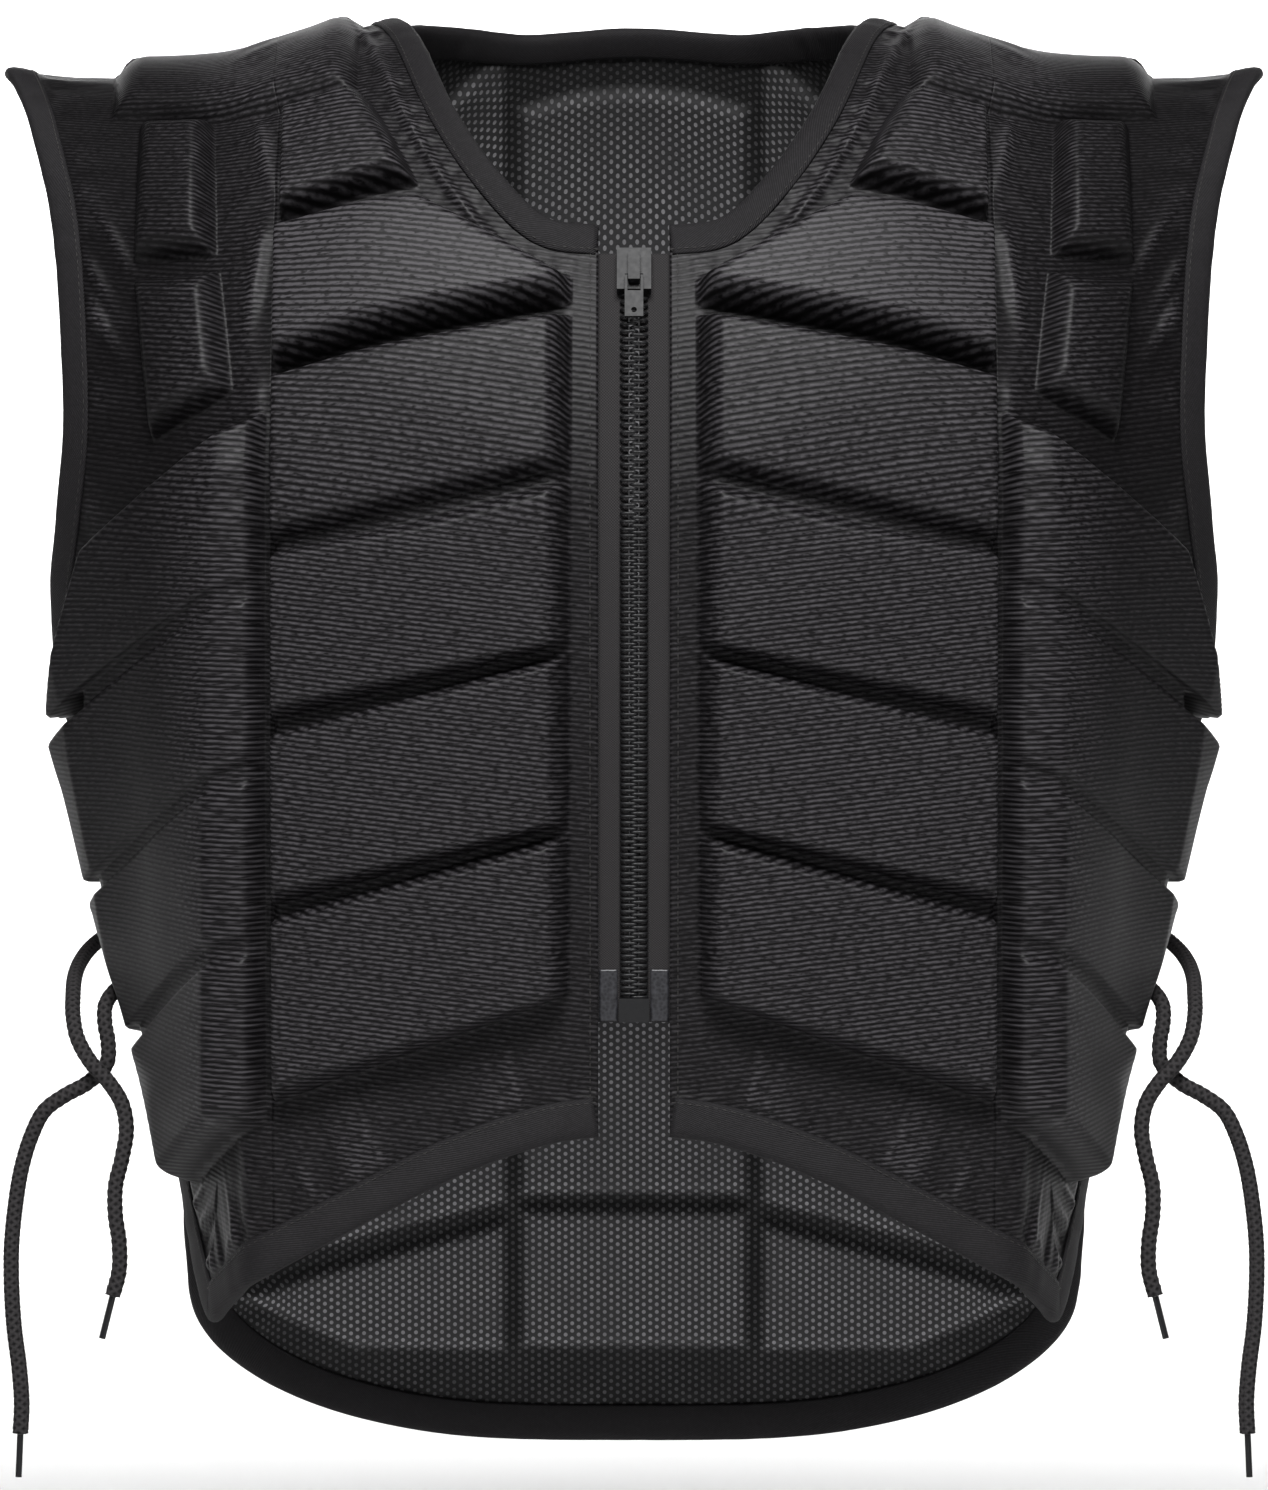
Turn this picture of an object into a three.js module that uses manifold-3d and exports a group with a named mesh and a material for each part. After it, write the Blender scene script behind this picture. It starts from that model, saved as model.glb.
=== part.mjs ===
// An equestrian body protector: a zipped, padded vest that keeps the shape of the rider's torso.
// Millimetres, +Z up, the wearer faces -Y. The origin is level with the underside of the straps,
// midway between the two shoulders, where the vest rests on the wearer.
//
// Every soft piece is drawn flat first, as a maker cuts it, and then wrapped round the torso.
// A flat point is (across, up): across is measured round the body from the centre line, and up is
// the height, which runs on over the shoulder to the ridge and down the back.
import * as THREE from "three";
import Module from "manifold-3d";
import { mergeVertices } from "three/addons/utils/BufferGeometryUtils.js";

// Torso
const LENGTH = 554; // shoulder level to the lowest point of the tail
const QUARTER = 290; // centre front to the side edge, round the body under the arm
const FRONT_DEPTH = 128; // shoulder plane to the breastbone
const BACK_DEPTH = 106; // shoulder plane to the spine
const CREASE = 138; // centre line to the crease where the front turns to the side
const CREASE_RUN = 14; // length of that turn
const CENTRE_TURN = 12; // degrees that the front turns before the crease
const SHOULDER_HALF = 248; // centre line to the arm end of the shoulder ridge
const NECK_HALF = 95; // centre line to the neck end of the shoulder ridge
const NECK_RISE = 24; // ridge height at the neck, above the straps' resting level
const NAPE_RISE = 51; // further rise of the back towards the nape
const SHOULDER_START = 180; // shoulder level down to where the chest begins to curve back
const RIDGE_RUN = 250; // cloth length from there to the ridge

// Cloth, foam and trim
const SHELL = 3; // cover and lining sewn together
const CLEAR = 0.3; // gap between pieces that touch
const PAD = 18; // foam block on chest, side and back
const THIN_PAD = 12; // foam block on the front of the arm
const SHOULDER_PAD = 9; // foam block over the shoulder
const CHAMFER = 3; // bevel round each block's outer face
const GROOVE = 6; // channel between two blocks
const BINDING = 1.4; // folded tape, one leg
const NECK_BINDING_WIDTH = 10;
const ARM_BINDING_WIDTH = 12;
const HEM_BINDING_WIDTH = 14;

// Zip
const ZIP_HALF = 13.5; // centre line to the cover's sewn edge
const PAD_MARGIN = 11; // sewn edge to the first foam block
const TAPE = 0.8; // zip tape thickness
const TAPE_GAP = 2.2; // centre line to each tape's woven edge
const TAPE_UNDER = 9; // how far a tape runs in under the cover
const COIL_HALF = 5.3;
const COIL_HEIGHT = 3;
const SLIDER_WIDTH = 13;
const SLIDER_LENGTH = 17;
const SLIDER_PLATE = 1.5;
const BAIL_WIDTH = 4.4;
const BAIL_THICK = 1.2;
const PULL_WIDTH = 7;
const PULL_LENGTH = 17;
const PULL_THICK = 1.6;
const PULL_BAR = 1.6; // the bar at the pull's top, held under the bail
const PULL_SLOT = 6.4;
const PULL_HOLE_RADIUS = 1.1;
const PULL_PLAY = 1.4; // the bar's centre to the plate below it and to the bail above it
const BOX_WIDTH = 11.4;
const BOX_LENGTH = 9;

// Lace
const LACE = 6.4; // diameter
const EYELET_RADIUS = LACE / 2 + 0.9;
const EYELET_INSET = 21; // side edge to an eyelet's centre
const TIP = 2.8; // diameter of a moulded lace tip
const TIP_LENGTH = 17;
const LACE_SIDES = 6;

const RIDGE = RIDGE_RUN - SHOULDER_START; // the ridge, as a flat height
const NAPE_HALF = NECK_HALF - 2; // the nape's rise ends just inside the strap
const DEG = Math.PI / 180;

const wasm = await Module();
wasm.setup();

// The torso's cross-sections. up is a share of LENGTH, depth a share of the front or back depth.
// lean_in and lean_out are how far the side has turned from the front, in degrees, at the crease and
// at its edge.
const FRONT_SECTIONS = [
  { up: -1.011, depth: 0.875, lean_in: 64, lean_out: 80 },
  { up: -0.875, depth: 0.89, lean_in: 64, lean_out: 80 },
  { up: -0.776, depth: 0.92, lean_in: 64, lean_out: 80 },
  { up: -0.614, depth: 0.953, lean_in: 60, lean_out: 76 },
  { up: -0.451, depth: 0.99, lean_in: 49, lean_out: 64 },
  { up: -0.325, depth: 1, lean_in: 37, lean_out: 50 },
  { up: -0.249, depth: 0.985, lean_in: 31, lean_out: 39 },
  { up: -0.108, depth: 0.97, lean_in: 28, lean_out: 34 },
  { up: 0.126, depth: 0.953, lean_in: 22, lean_out: 28 },
];
const BACK_SECTIONS = [
  { up: -1.011, depth: 0.93, lean_in: 30, lean_out: 42 },
  { up: -0.776, depth: 0.84, lean_in: 44, lean_out: 60 },
  { up: -0.614, depth: 0.8, lean_in: 42, lean_out: 58 },
  { up: -0.451, depth: 0.94, lean_in: 38, lean_out: 54 },
  { up: -0.325, depth: 1, lean_in: 32, lean_out: 44 },
  { up: -0.249, depth: 1, lean_in: 24, lean_out: 31 },
  { up: -0.108, depth: 1.02, lean_in: 24, lean_out: 30 },
  { up: 0.126, depth: 1, lean_in: 22, lean_out: 28 },
];
// The shoulder ridge: out is a share of SHOULDER_HALF, rise a share of NECK_RISE.
const RIDGE_LINE = [
  { out: 0, rise: 1 },
  { out: 0.38, rise: 1 },
  { out: 0.52, rise: 0.54 },
  { out: 0.665, rise: 0.12 },
  { out: 0.895, rise: 0.08 },
  { out: 1, rise: 0.2 },
];

// One column of a table at a place along its key, on a smooth curve through the rows.
function along(table, key, column, place) {
  const last = table.length - 1;
  let i = 0;
  while (i < last - 1 && place > table[i + 1][key]) i += 1;
  const [a, b] = [table[i], table[i + 1]];
  const span = b[key] - a[key];
  const before = table[Math.max(i - 1, 0)];
  const after = table[Math.min(i + 2, last)];
  const slopeA = (b[column] - before[column]) / (b[key] - before[key]);
  const slopeB = (after[column] - a[column]) / (after[key] - a[key]);
  const f = Math.min(1, Math.max(0, (place - a[key]) / span));
  const [f2, f3] = [f * f, f * f * f];
  return (
    (2 * f3 - 3 * f2 + 1) * a[column] +
    (f3 - 2 * f2 + f) * span * slopeA +
    (3 * f2 - 2 * f3) * b[column] +
    (f3 - f2) * span * slopeB
  );
}

// A point of the torso's surface, for a flat point on the front, or on the back past the ridge.
function torso(across, up, onBack) {
  const past = up > RIDGE;
  const back = onBack !== past;
  const level = past ? 2 * RIDGE - up : up;
  const table = back ? BACK_SECTIONS : FRONT_SECTIONS;
  const share = level / LENGTH;
  const leanIn = along(table, "up", "lean_in", share);
  const leanOut = along(table, "up", "lean_out", share);
  const runs = [
    [CREASE, 0, CENTRE_TURN],
    [CREASE_RUN, CENTRE_TURN, leanIn],
    [QUARTER - CREASE - CREASE_RUN, leanIn, leanOut],
  ];
  let left = Math.abs(across);
  let [x, inward] = [0, 0];
  runs.forEach(([run, from, to], i) => {
    const go = i < 2 ? Math.min(left, run) : left;
    const a = from * DEG;
    const bend = ((to - from) * DEG) / run;
    const b = a + bend * go;
    x += (Math.sin(b) - Math.sin(a)) / bend;
    inward += (Math.cos(a) - Math.cos(b)) / bend;
    left -= go;
  });
  const depth = (back ? BACK_DEPTH : FRONT_DEPTH) * along(table, "up", "depth", share);
  const turn = Math.max(0, (level + SHOULDER_START) / RIDGE_RUN) * 90 * DEG;
  const nape = back && x < NAPE_HALF ? NAPE_RISE * (1 - (x / NAPE_HALF) ** 2) : 0;
  const ridge = NECK_RISE * along(RIDGE_LINE, "out", "rise", x / SHOULDER_HALF) + nape;
  const z = turn > 0 ? (ridge + SHOULDER_START) * Math.sin(turn) - SHOULDER_START : level;
  const y = (depth - inward) * Math.cos(turn);
  return new THREE.Vector3(Math.sign(across || 1) * x, back ? y : -y, z);
}

// The same point moved out from the body by a height, and the directions there: across, up and out.
function frameAt(across, up, onBack) {
  const step = 0.5;
  const point = torso(across, up, onBack);
  const right = torso(across + step, up, onBack).sub(torso(across - step, up, onBack)).normalize();
  const rise = torso(across, up + step, onBack).sub(torso(across, up - step, onBack)).normalize();
  const out = new THREE.Vector3().crossVectors(right, rise).normalize();
  if (onBack) out.negate();
  return { point, right, rise, out };
}
function wrap(across, up, height, onBack) {
  const { point, out } = frameAt(across, up, onBack);
  return point.addScaledVector(out, height);
}

// A closed mesh from a list of triangles, turned so that its faces point out.
function closed(triangles) {
  let volume = 0;
  const cross = new THREE.Vector3();
  triangles.forEach(([a, b, c]) => {
    volume += a.dot(cross.crossVectors(b, c));
  });
  const ordered = volume < 0 ? triangles.flatMap(([a, b, c]) => [a, c, b]) : triangles.flat();
  const geometry = new THREE.BufferGeometry();
  geometry.setFromPoints(ordered);
  return geometry;
}
const quad = (a, b, c, d) => [
  [a, b, c],
  [a, c, d],
];

// A block over a flat patch: patch(u, v) is a flat point, layers are its heights with an inset each,
// and the block is columns by rows.
function block(patch, layers, columns, rows, onBack) {
  const width = (v) => patch(0, v).distanceTo(patch(1, v));
  const tall = (u) => patch(u, 0).distanceTo(patch(u, 1));
  const grid = layers.map(({ height, inset }) =>
    Array.from({ length: columns + 1 }, (_, i) =>
      Array.from({ length: rows + 1 }, (_, j) => {
        const [u, v] = [i / columns, j / rows];
        const [pu, pv] = [inset / width(v), inset / tall(u)];
        const flat = patch(pu + u * (1 - 2 * pu), pv + v * (1 - 2 * pv));
        return wrap(flat.x, flat.y, height, onBack);
      }),
    ),
  );
  const triangles = [];
  const [bottom, top] = [grid[0], grid[grid.length - 1]];
  for (let i = 0; i < columns; i += 1) {
    for (let j = 0; j < rows; j += 1) {
      triangles.push(...quad(top[i][j], top[i + 1][j], top[i + 1][j + 1], top[i][j + 1]));
      triangles.push(...quad(bottom[i][j + 1], bottom[i + 1][j + 1], bottom[i + 1][j], bottom[i][j]));
    }
  }
  const rim = [];
  for (let i = 0; i < columns; i += 1) rim.push([i, 0]);
  for (let j = 0; j < rows; j += 1) rim.push([columns, j]);
  for (let i = columns; i > 0; i -= 1) rim.push([i, rows]);
  for (let j = rows; j > 0; j -= 1) rim.push([0, j]);
  for (let k = 0; k + 1 < grid.length; k += 1) {
    rim.forEach(([i, j], n) => {
      const [p, q] = rim[(n + 1) % rim.length];
      triangles.push(...quad(grid[k][i][j], grid[k][p][q], grid[k + 1][p][q], grid[k + 1][i][j]));
    });
  }
  return closed(triangles);
}

const flatPoint = (x, y) => new THREE.Vector2(x, y);
// A smooth edge through flat points, as a function of 0 to 1 by length.
function edge(points) {
  const curve = new THREE.CatmullRomCurve3(
    points.map(([x, y]) => new THREE.Vector3(x, y, 0)),
    false,
    "centripetal",
  );
  return (f) => {
    const p = curve.getPointAt(Math.min(1, Math.max(0, f)));
    return flatPoint(p.x, p.y);
  };
}
// Two edges end to end: the first takes the share split of 0 to 1.
const chain = (first, second, split) => (f) =>
  f < split ? first(f / split) : second((f - split) / (1 - split));
const straight = (a, b) => (f) => a.clone().lerp(b, f);
const portion = (line, from, to) => (f) => line(from + (to - from) * f);
// A patch between four edges: bottom and top run across, inner and outer run up.
function patchOf(bottom, top, inner, outer) {
  return (u, v) => {
    const mix = (a, b, f) => a.clone().lerp(b, f);
    const between = mix(bottom(u), top(u), v).add(mix(inner(v), outer(v), u));
    return between.sub(mix(mix(bottom(0), bottom(1), u), mix(top(0), top(1), u), v));
  };
}
// A patch with straight sides, from its four corners.
function fourSided(innerBottom, outerBottom, outerTop, innerTop) {
  return patchOf(
    straight(innerBottom, outerBottom),
    straight(innerTop, outerTop),
    straight(innerBottom, innerTop),
    straight(outerBottom, outerTop),
  );
}

// The panels' outlines. across is a share of QUARTER, up a share of LENGTH.
const shares = (rows) => rows.map(({ across, up }) => [across * QUARTER, up * LENGTH]);
const SIDE_TOP = { across: 1, up: -0.44 };
const BACK_SIDE_TOP = { across: 0.805, up: -0.44 };
const FRONT_NECK = [
  { across: 0.115, up: -0.15 },
  { across: 0.18, up: -0.118 },
  { across: 0.243, up: -0.062 },
  { across: 0.293, up: 0.03 },
];
const FRONT_ARM = [
  SIDE_TOP,
  { across: 0.92, up: -0.366 },
  { across: 0.855, up: -0.31 },
  { across: 0.815, up: -0.26 },
  { across: 0.812, up: -0.195 },
  { across: 0.828, up: -0.11 },
  { across: 0.86, up: -0.023 },
];
const FRONT_SIDE = [
  { across: 0.672, up: -0.868 },
  { across: 0.79, up: -0.79 },
  { across: 0.9, up: -0.69 },
  { across: 0.962, up: -0.6 },
  SIDE_TOP,
];
const FRONT_HEM = [
  { across: 0.11, up: -0.743 },
  { across: 0.224, up: -0.764 },
  { across: 0.38, up: -0.806 },
  { across: 0.52, up: -0.846 },
  { across: 0.6, up: -0.866 },
  { across: 0.645, up: -0.876 },
  { across: 0.672, up: -0.868 },
];
const BACK_NECK = [
  { across: 0, up: -0.046 },
  { across: 0.15, up: -0.035 },
  { across: 0.25, up: 0.012 },
  { across: 0.305, up: 0.07 },
];
const BACK_ARM = [
  BACK_SIDE_TOP,
  { across: 0.775, up: -0.366 },
  { across: 0.765, up: -0.3 },
  { across: 0.77, up: -0.23 },
  { across: 0.785, up: -0.15 },
  { across: 0.82, up: -0.06 },
  { across: 0.86, up: 0.03 },
];
const BACK_SIDE = [
  { across: 0.68, up: -0.795 },
  { across: 0.7, up: -0.7 },
  { across: 0.74, up: -0.59 },
  BACK_SIDE_TOP,
];
const TAIL = [
  { across: 0, up: -0.995 },
  { across: 0.3, up: -0.987 },
  { across: 0.5, up: -0.955 },
  { across: 0.64, up: -0.9 },
  { across: 0.67, up: -0.845 },
  { across: 0.68, up: -0.795 },
];
const RIDGE_SHARE = RIDGE / LENGTH;
const NECK_SHARE = NECK_HALF / QUARTER;
const ARM_SHARE = 0.903; // the ridge's arm end, as a share of QUARTER
const ZIP_SHARE = ZIP_HALF / QUARTER;
const neckEnd = { across: NECK_SHARE, up: RIDGE_SHARE };
const armEnd = { across: ARM_SHARE, up: RIDGE_SHARE };
const zipTop = { across: ZIP_SHARE, up: -0.155 };
const zipBottom = { across: ZIP_SHARE, up: -0.738 };
const SEAM = RIDGE - CLEAR; // where the shells end, just short of the ridge
const belowSeam = (point) => flatPoint(point.x, Math.min(point.y, SEAM));
const pastSeam = (point) => flatPoint(point.x, point.y > SEAM ? RIDGE + CLEAR / 2 : point.y);

const neckEdge = edge(shares([zipTop, ...FRONT_NECK, neckEnd]));
const zipEdge = edge(shares([zipBottom, zipTop]));
const sideEdge = edge(shares(FRONT_SIDE));
const armEdge = edge(shares([...FRONT_ARM, armEnd]));
const hemEdge = edge(shares([zipBottom, ...FRONT_HEM]));
const mirrored = (rows) => rows.map(({ across, up }) => ({ across: -across, up })).reverse();
const backNeckHalf = [...BACK_NECK, neckEnd];
const backNeck = edge(shares([...mirrored(backNeckHalf), ...backNeckHalf.slice(1)]));
const tailEdge = edge(shares([...mirrored(TAIL), ...TAIL.slice(1)]));
const backSide = edge(shares(BACK_SIDE));
const backArm = edge(shares([...BACK_ARM, armEnd]));

// The share of an edge's length at which it has come a distance across.
function shareAt(line, across) {
  let [low, high] = [0, 1];
  for (let i = 0; i < 30; i += 1) {
    const mid = (low + high) / 2;
    if (line(mid).x < across) low = mid;
    else high = mid;
  }
  return low;
}
// Strips side by side as one patch, in which each strip has its own number of columns.
function sideBySide(strips) {
  const total = strips.reduce((sum, { columns }) => sum + columns, 0);
  return (u, v) => {
    let place = u * total;
    let n = 0;
    while (n < strips.length - 1 && place > strips[n].columns + 1e-9) {
      place -= strips[n].columns;
      n += 1;
    }
    return strips[n].patch(Math.min(1, place / strips[n].columns), v);
  };
}

const CREASE_END = CREASE + CREASE_RUN;
const ridgeAt = (across) => flatPoint(across, RIDGE);
const UPPER_ROWS_IN = 0.38; // the share of the rows along the neckline
const UPPER_ROWS_OUT = 0.5; // the share of the rows along the armhole
const hemCrease = [shareAt(hemEdge, CREASE), shareAt(hemEdge, CREASE_END)];
const FRONT_COLUMNS = 8;
const FRONT_ROWS = 14;
const frontPatch = sideBySide([
  {
    columns: 3,
    patch: patchOf(
      portion(hemEdge, 0, hemCrease[0]),
      straight(ridgeAt(NECK_HALF), ridgeAt(CREASE)),
      chain(zipEdge, neckEdge, 1 - UPPER_ROWS_IN),
      straight(hemEdge(hemCrease[0]), ridgeAt(CREASE)),
    ),
  },
  {
    columns: 2,
    patch: fourSided(
      hemEdge(hemCrease[0]),
      hemEdge(hemCrease[1]),
      ridgeAt(CREASE_END),
      ridgeAt(CREASE),
    ),
  },
  {
    columns: 3,
    patch: patchOf(
      portion(hemEdge, hemCrease[1], 1),
      straight(ridgeAt(CREASE_END), ridgeAt(ARM_SHARE * QUARTER)),
      straight(hemEdge(hemCrease[1]), ridgeAt(CREASE_END)),
      chain(sideEdge, armEdge, 1 - UPPER_ROWS_OUT),
    ),
  },
]);

const flipped = (point) => flatPoint(-point.x, point.y);
const tailCrease = [shareAt(tailEdge, CREASE), shareAt(tailEdge, CREASE_END)];
const STRAP_SHARE = 0.1; // the share of the back's middle columns on each strap
const backTop = chain(
  straight(ridgeAt(-CREASE), ridgeAt(-NECK_HALF)),
  chain(
    backNeck,
    straight(ridgeAt(NECK_HALF), ridgeAt(CREASE)),
    (1 - 2 * STRAP_SHARE) / (1 - STRAP_SHARE),
  ),
  STRAP_SHARE,
);
const backSideStrip = patchOf(
  portion(tailEdge, tailCrease[1], 1),
  straight(ridgeAt(CREASE_END), ridgeAt(ARM_SHARE * QUARTER)),
  straight(tailEdge(tailCrease[1]), ridgeAt(CREASE_END)),
  chain(backSide, backArm, 1 - UPPER_ROWS_OUT),
);
const backTurnStrip = fourSided(
  tailEdge(tailCrease[0]),
  tailEdge(tailCrease[1]),
  ridgeAt(CREASE_END),
  ridgeAt(CREASE),
);
const BACK_COLUMNS = 18;
const BACK_ROWS = 11;
const backPatch = sideBySide([
  { columns: 2, patch: (u, v) => flipped(backSideStrip(1 - u, v)) },
  { columns: 2, patch: (u, v) => flipped(backTurnStrip(1 - u, v)) },
  {
    columns: 10,
    patch: patchOf(
      portion(tailEdge, 1 - tailCrease[0], tailCrease[0]),
      backTop,
      straight(flipped(tailEdge(tailCrease[0])), ridgeAt(-CREASE)),
      straight(tailEdge(tailCrease[0]), ridgeAt(CREASE)),
    ),
  },
  { columns: 2, patch: backTurnStrip },
  { columns: 2, patch: backSideStrip },
]);

// Pieces
const vest = new THREE.Group();
const cloth = new THREE.MeshStandardMaterial({ color: 0x232226, roughness: 0.62, metalness: 0 });
const foam = new THREE.MeshStandardMaterial({ color: 0x2b2a2e, roughness: 0.7, metalness: 0 });
const tapeCloth = new THREE.MeshStandardMaterial({ color: 0x1d1c1d, roughness: 0.8, metalness: 0 });
const nylon = new THREE.MeshStandardMaterial({ color: 0x1b1b1c, roughness: 0.4, metalness: 0 });
const enamel = new THREE.MeshStandardMaterial({ color: 0x1c1c20, roughness: 0.35, metalness: 0.4 });
const braid = new THREE.MeshStandardMaterial({ color: 0x1e1d1c, roughness: 0.85, metalness: 0 });

function add(name, geometry, material) {
  const mesh = new THREE.Mesh(geometry, material);
  mesh.name = name;
  vest.add(mesh);
  return mesh;
}
// The same geometry reflected in the centre plane, with its faces still pointing out.
function reflected(geometry) {
  const plain = geometry.index ? geometry.toNonIndexed() : geometry.clone();
  plain.scale(-1, 1, 1);
  const p = plain.attributes.position.array;
  for (let i = 0; i < p.length; i += 9) {
    for (let k = 0; k < 3; k += 1) [p[i + 3 + k], p[i + 6 + k]] = [p[i + 6 + k], p[i + 3 + k]];
  }
  return plain;
}
// The wearer's left is at +X, because the wearer faces -Y.
function addPair(name, geometry, material) {
  add(`${name}_left`, geometry, material);
  add(`${name}_right`, reflected(geometry), material);
}

// Solids for cutting
function solidOf(geometry) {
  const bare = new THREE.BufferGeometry();
  bare.setAttribute("position", geometry.getAttribute("position").clone());
  if (geometry.index) bare.setIndex(geometry.index.clone());
  const merged = mergeVertices(bare, 1e-4);
  return new wasm.Manifold(
    new wasm.Mesh({
      numProp: 3,
      vertProperties: merged.attributes.position.array,
      triVerts: new Uint32Array(merged.index.array),
    }),
  );
}
function geometryOf(solid) {
  const mesh = solid.getMesh();
  const geometry = new THREE.BufferGeometry();
  const points = new Float32Array(mesh.numVert * 3);
  for (let i = 0; i < mesh.numVert; i += 1) {
    points.set(mesh.vertProperties.subarray(i * mesh.numProp, i * mesh.numProp + 3), i * 3);
  }
  geometry.setAttribute("position", new THREE.BufferAttribute(points, 3));
  geometry.setIndex(new THREE.BufferAttribute(mesh.triVerts, 1));
  return geometry;
}
// A geometry drawn in a local frame (across, up, out), moved to its place on the torso.
function seated(geometry, across, up, onBack = false) {
  const { point, right, rise, out } = frameAt(across, up, onBack);
  const trueRise = new THREE.Vector3().crossVectors(out, right);
  geometry.applyMatrix4(new THREE.Matrix4().makeBasis(right, trueRise, out).setPosition(point));
  return geometry;
}

// Eyelets for the side laces, at three levels down each side edge
const EYELET_LEVELS = [0.2, 0.43, 0.66]; // shares of the side edge, from its top
const EYELET_DEPTH = 8 * SHELL;
function eyeletFlat(sideLine, level) {
  const p = sideLine(1 - level);
  return flatPoint(p.x - EYELET_INSET, p.y);
}
function eyeletCutters(sideLine, onBack, sign = 1) {
  return EYELET_LEVELS.map((level) => {
    const p = eyeletFlat(sideLine, level);
    const punch = new THREE.CylinderGeometry(EYELET_RADIUS, EYELET_RADIUS, EYELET_DEPTH, 8);
    punch.rotateX(Math.PI / 2);
    const { point, out } = frameAt(sign * p.x, p.y, onBack);
    const turned = new THREE.Quaternion().setFromUnitVectors(new THREE.Vector3(0, 0, 1), out);
    punch.applyQuaternion(turned);
    punch.translate(point.x, point.y, point.z);
    return solidOf(punch);
  });
}

// Bindings: a tape folded over an edge. The edge is a flat path that may run on over the ridge, and
// its section is drawn as (inset from the edge, height) points.
const overRidge = (rows) => rows.map(([x, y]) => [x, 2 * RIDGE - y]);
function strip(path, samples, section, onBack, over = 0) {
  const rings = Array.from({ length: samples + 1 }, (_, j) => {
    const f = j / samples;
    const ahead = path(Math.min(1, f + 0.004)).sub(path(Math.max(0, f - 0.004))).normalize();
    const beyond = j === 0 ? -over : j === samples ? over : 0;
    const p = path(f).addScaledVector(ahead, beyond);
    const inward = flatPoint(-ahead.y, ahead.x);
    return section.map(([inset, height]) => {
      const flat = p.clone().addScaledVector(inward, inset);
      return wrap(flat.x, flat.y, height, onBack);
    });
  });
  const triangles = [];
  const count = section.length;
  rings.slice(1).forEach((ring, j) => {
    for (let k = 0; k < count; k += 1) {
      const m = (k + 1) % count;
      triangles.push(...quad(rings[j][k], rings[j][m], ring[m], ring[k]));
    }
  });
  const last = rings[samples];
  for (let k = 1; k + 1 < count; k += 1) {
    triangles.push([rings[0][0], rings[0][k + 1], rings[0][k]]);
    triangles.push([last[0], last[k], last[k + 1]]);
  }
  return closed(triangles);
}
const foldedTape = (width) => [
  [-BINDING, 0],
  [width, -BINDING / 2],
  [width, SHELL + BINDING / 2],
  [width - BINDING, SHELL + BINDING],
  [BINDING, SHELL + BINDING],
  [-BINDING, SHELL],
];
const CUT_OUT = 14; // how far a trimming solid reaches outside its edge
const CUT_DEEP = 8; // and above and below the cloth
const CUT_CLEAR = 1.5 * CLEAR; // the gap between a binding and the cloth beside it
const CUT_PAST = 3 * CLEAR; // how far a trimming solid runs on past the ends of its binding
const cutterSection = (width) => [
  [-CUT_OUT, -CUT_DEEP],
  [width + CUT_CLEAR, -CUT_DEEP],
  [width + CUT_CLEAR, -BINDING],
  [width + CUT_CLEAR, SHELL + 2 * BINDING],
  [width + CUT_CLEAR, CUT_DEEP + PAD],
  [-CUT_OUT, CUT_DEEP + PAD],
];

const neckRows = shares([zipTop, ...FRONT_NECK, neckEnd]);
const backNeckRows = overRidge(shares(BACK_NECK)).reverse();
const neckHalfRows = [...neckRows, ...backNeckRows];
const mirroredRows = (rows) => rows.map(([x, y]) => [-x, y]).reverse();
const neckRound = edge([...neckHalfRows, ...mirroredRows(neckHalfRows.slice(0, -1))]);
const armRound = edge([...shares([...FRONT_ARM, armEnd]), ...overRidge(shares(BACK_ARM)).reverse()]);
const frontHemRows = [...shares([zipBottom, ...FRONT_HEM]), ...shares(FRONT_SIDE).slice(1)];
const hemRound = edge(frontHemRows);
const backHemRows = [...shares(TAIL), ...shares(BACK_SIDE).slice(1)];
const tailRound = edge([...mirroredRows(backHemRows.slice(1)), ...backHemRows]);
const BINDINGS = {
  neck: { path: (f) => neckRound(1 - f), samples: 36, width: NECK_BINDING_WIDTH, onBack: false },
  arm: { path: armRound, samples: 30, width: ARM_BINDING_WIDTH, onBack: false },
  hem: { path: hemRound, samples: 24, width: HEM_BINDING_WIDTH, onBack: false },
  tail: { path: tailRound, samples: 40, width: HEM_BINDING_WIDTH, onBack: true },
};
function bound({ path, samples, onBack }, section, over = 0) {
  return strip(path, samples, section, onBack, over);
}
const cutter = (binding) => solidOf(bound(binding, cutterSection(binding.width), CUT_PAST));
const cutters = Object.fromEntries(
  Object.entries(BINDINGS).map(([name, binding]) => [name, cutter(binding)]),
);
const mirrorSolid = (solid) => solid.mirror([1, 0, 0]);
// What is left of a solid, its largest body, after cutters are taken from it.
function trimmed(solid, takenAway) {
  const left = takenAway.reduce((sum, cut) => sum.subtract(cut), solid);
  return left.decompose().reduce((most, body) => (body.volume() > most.volume() ? body : most));
}

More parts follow.
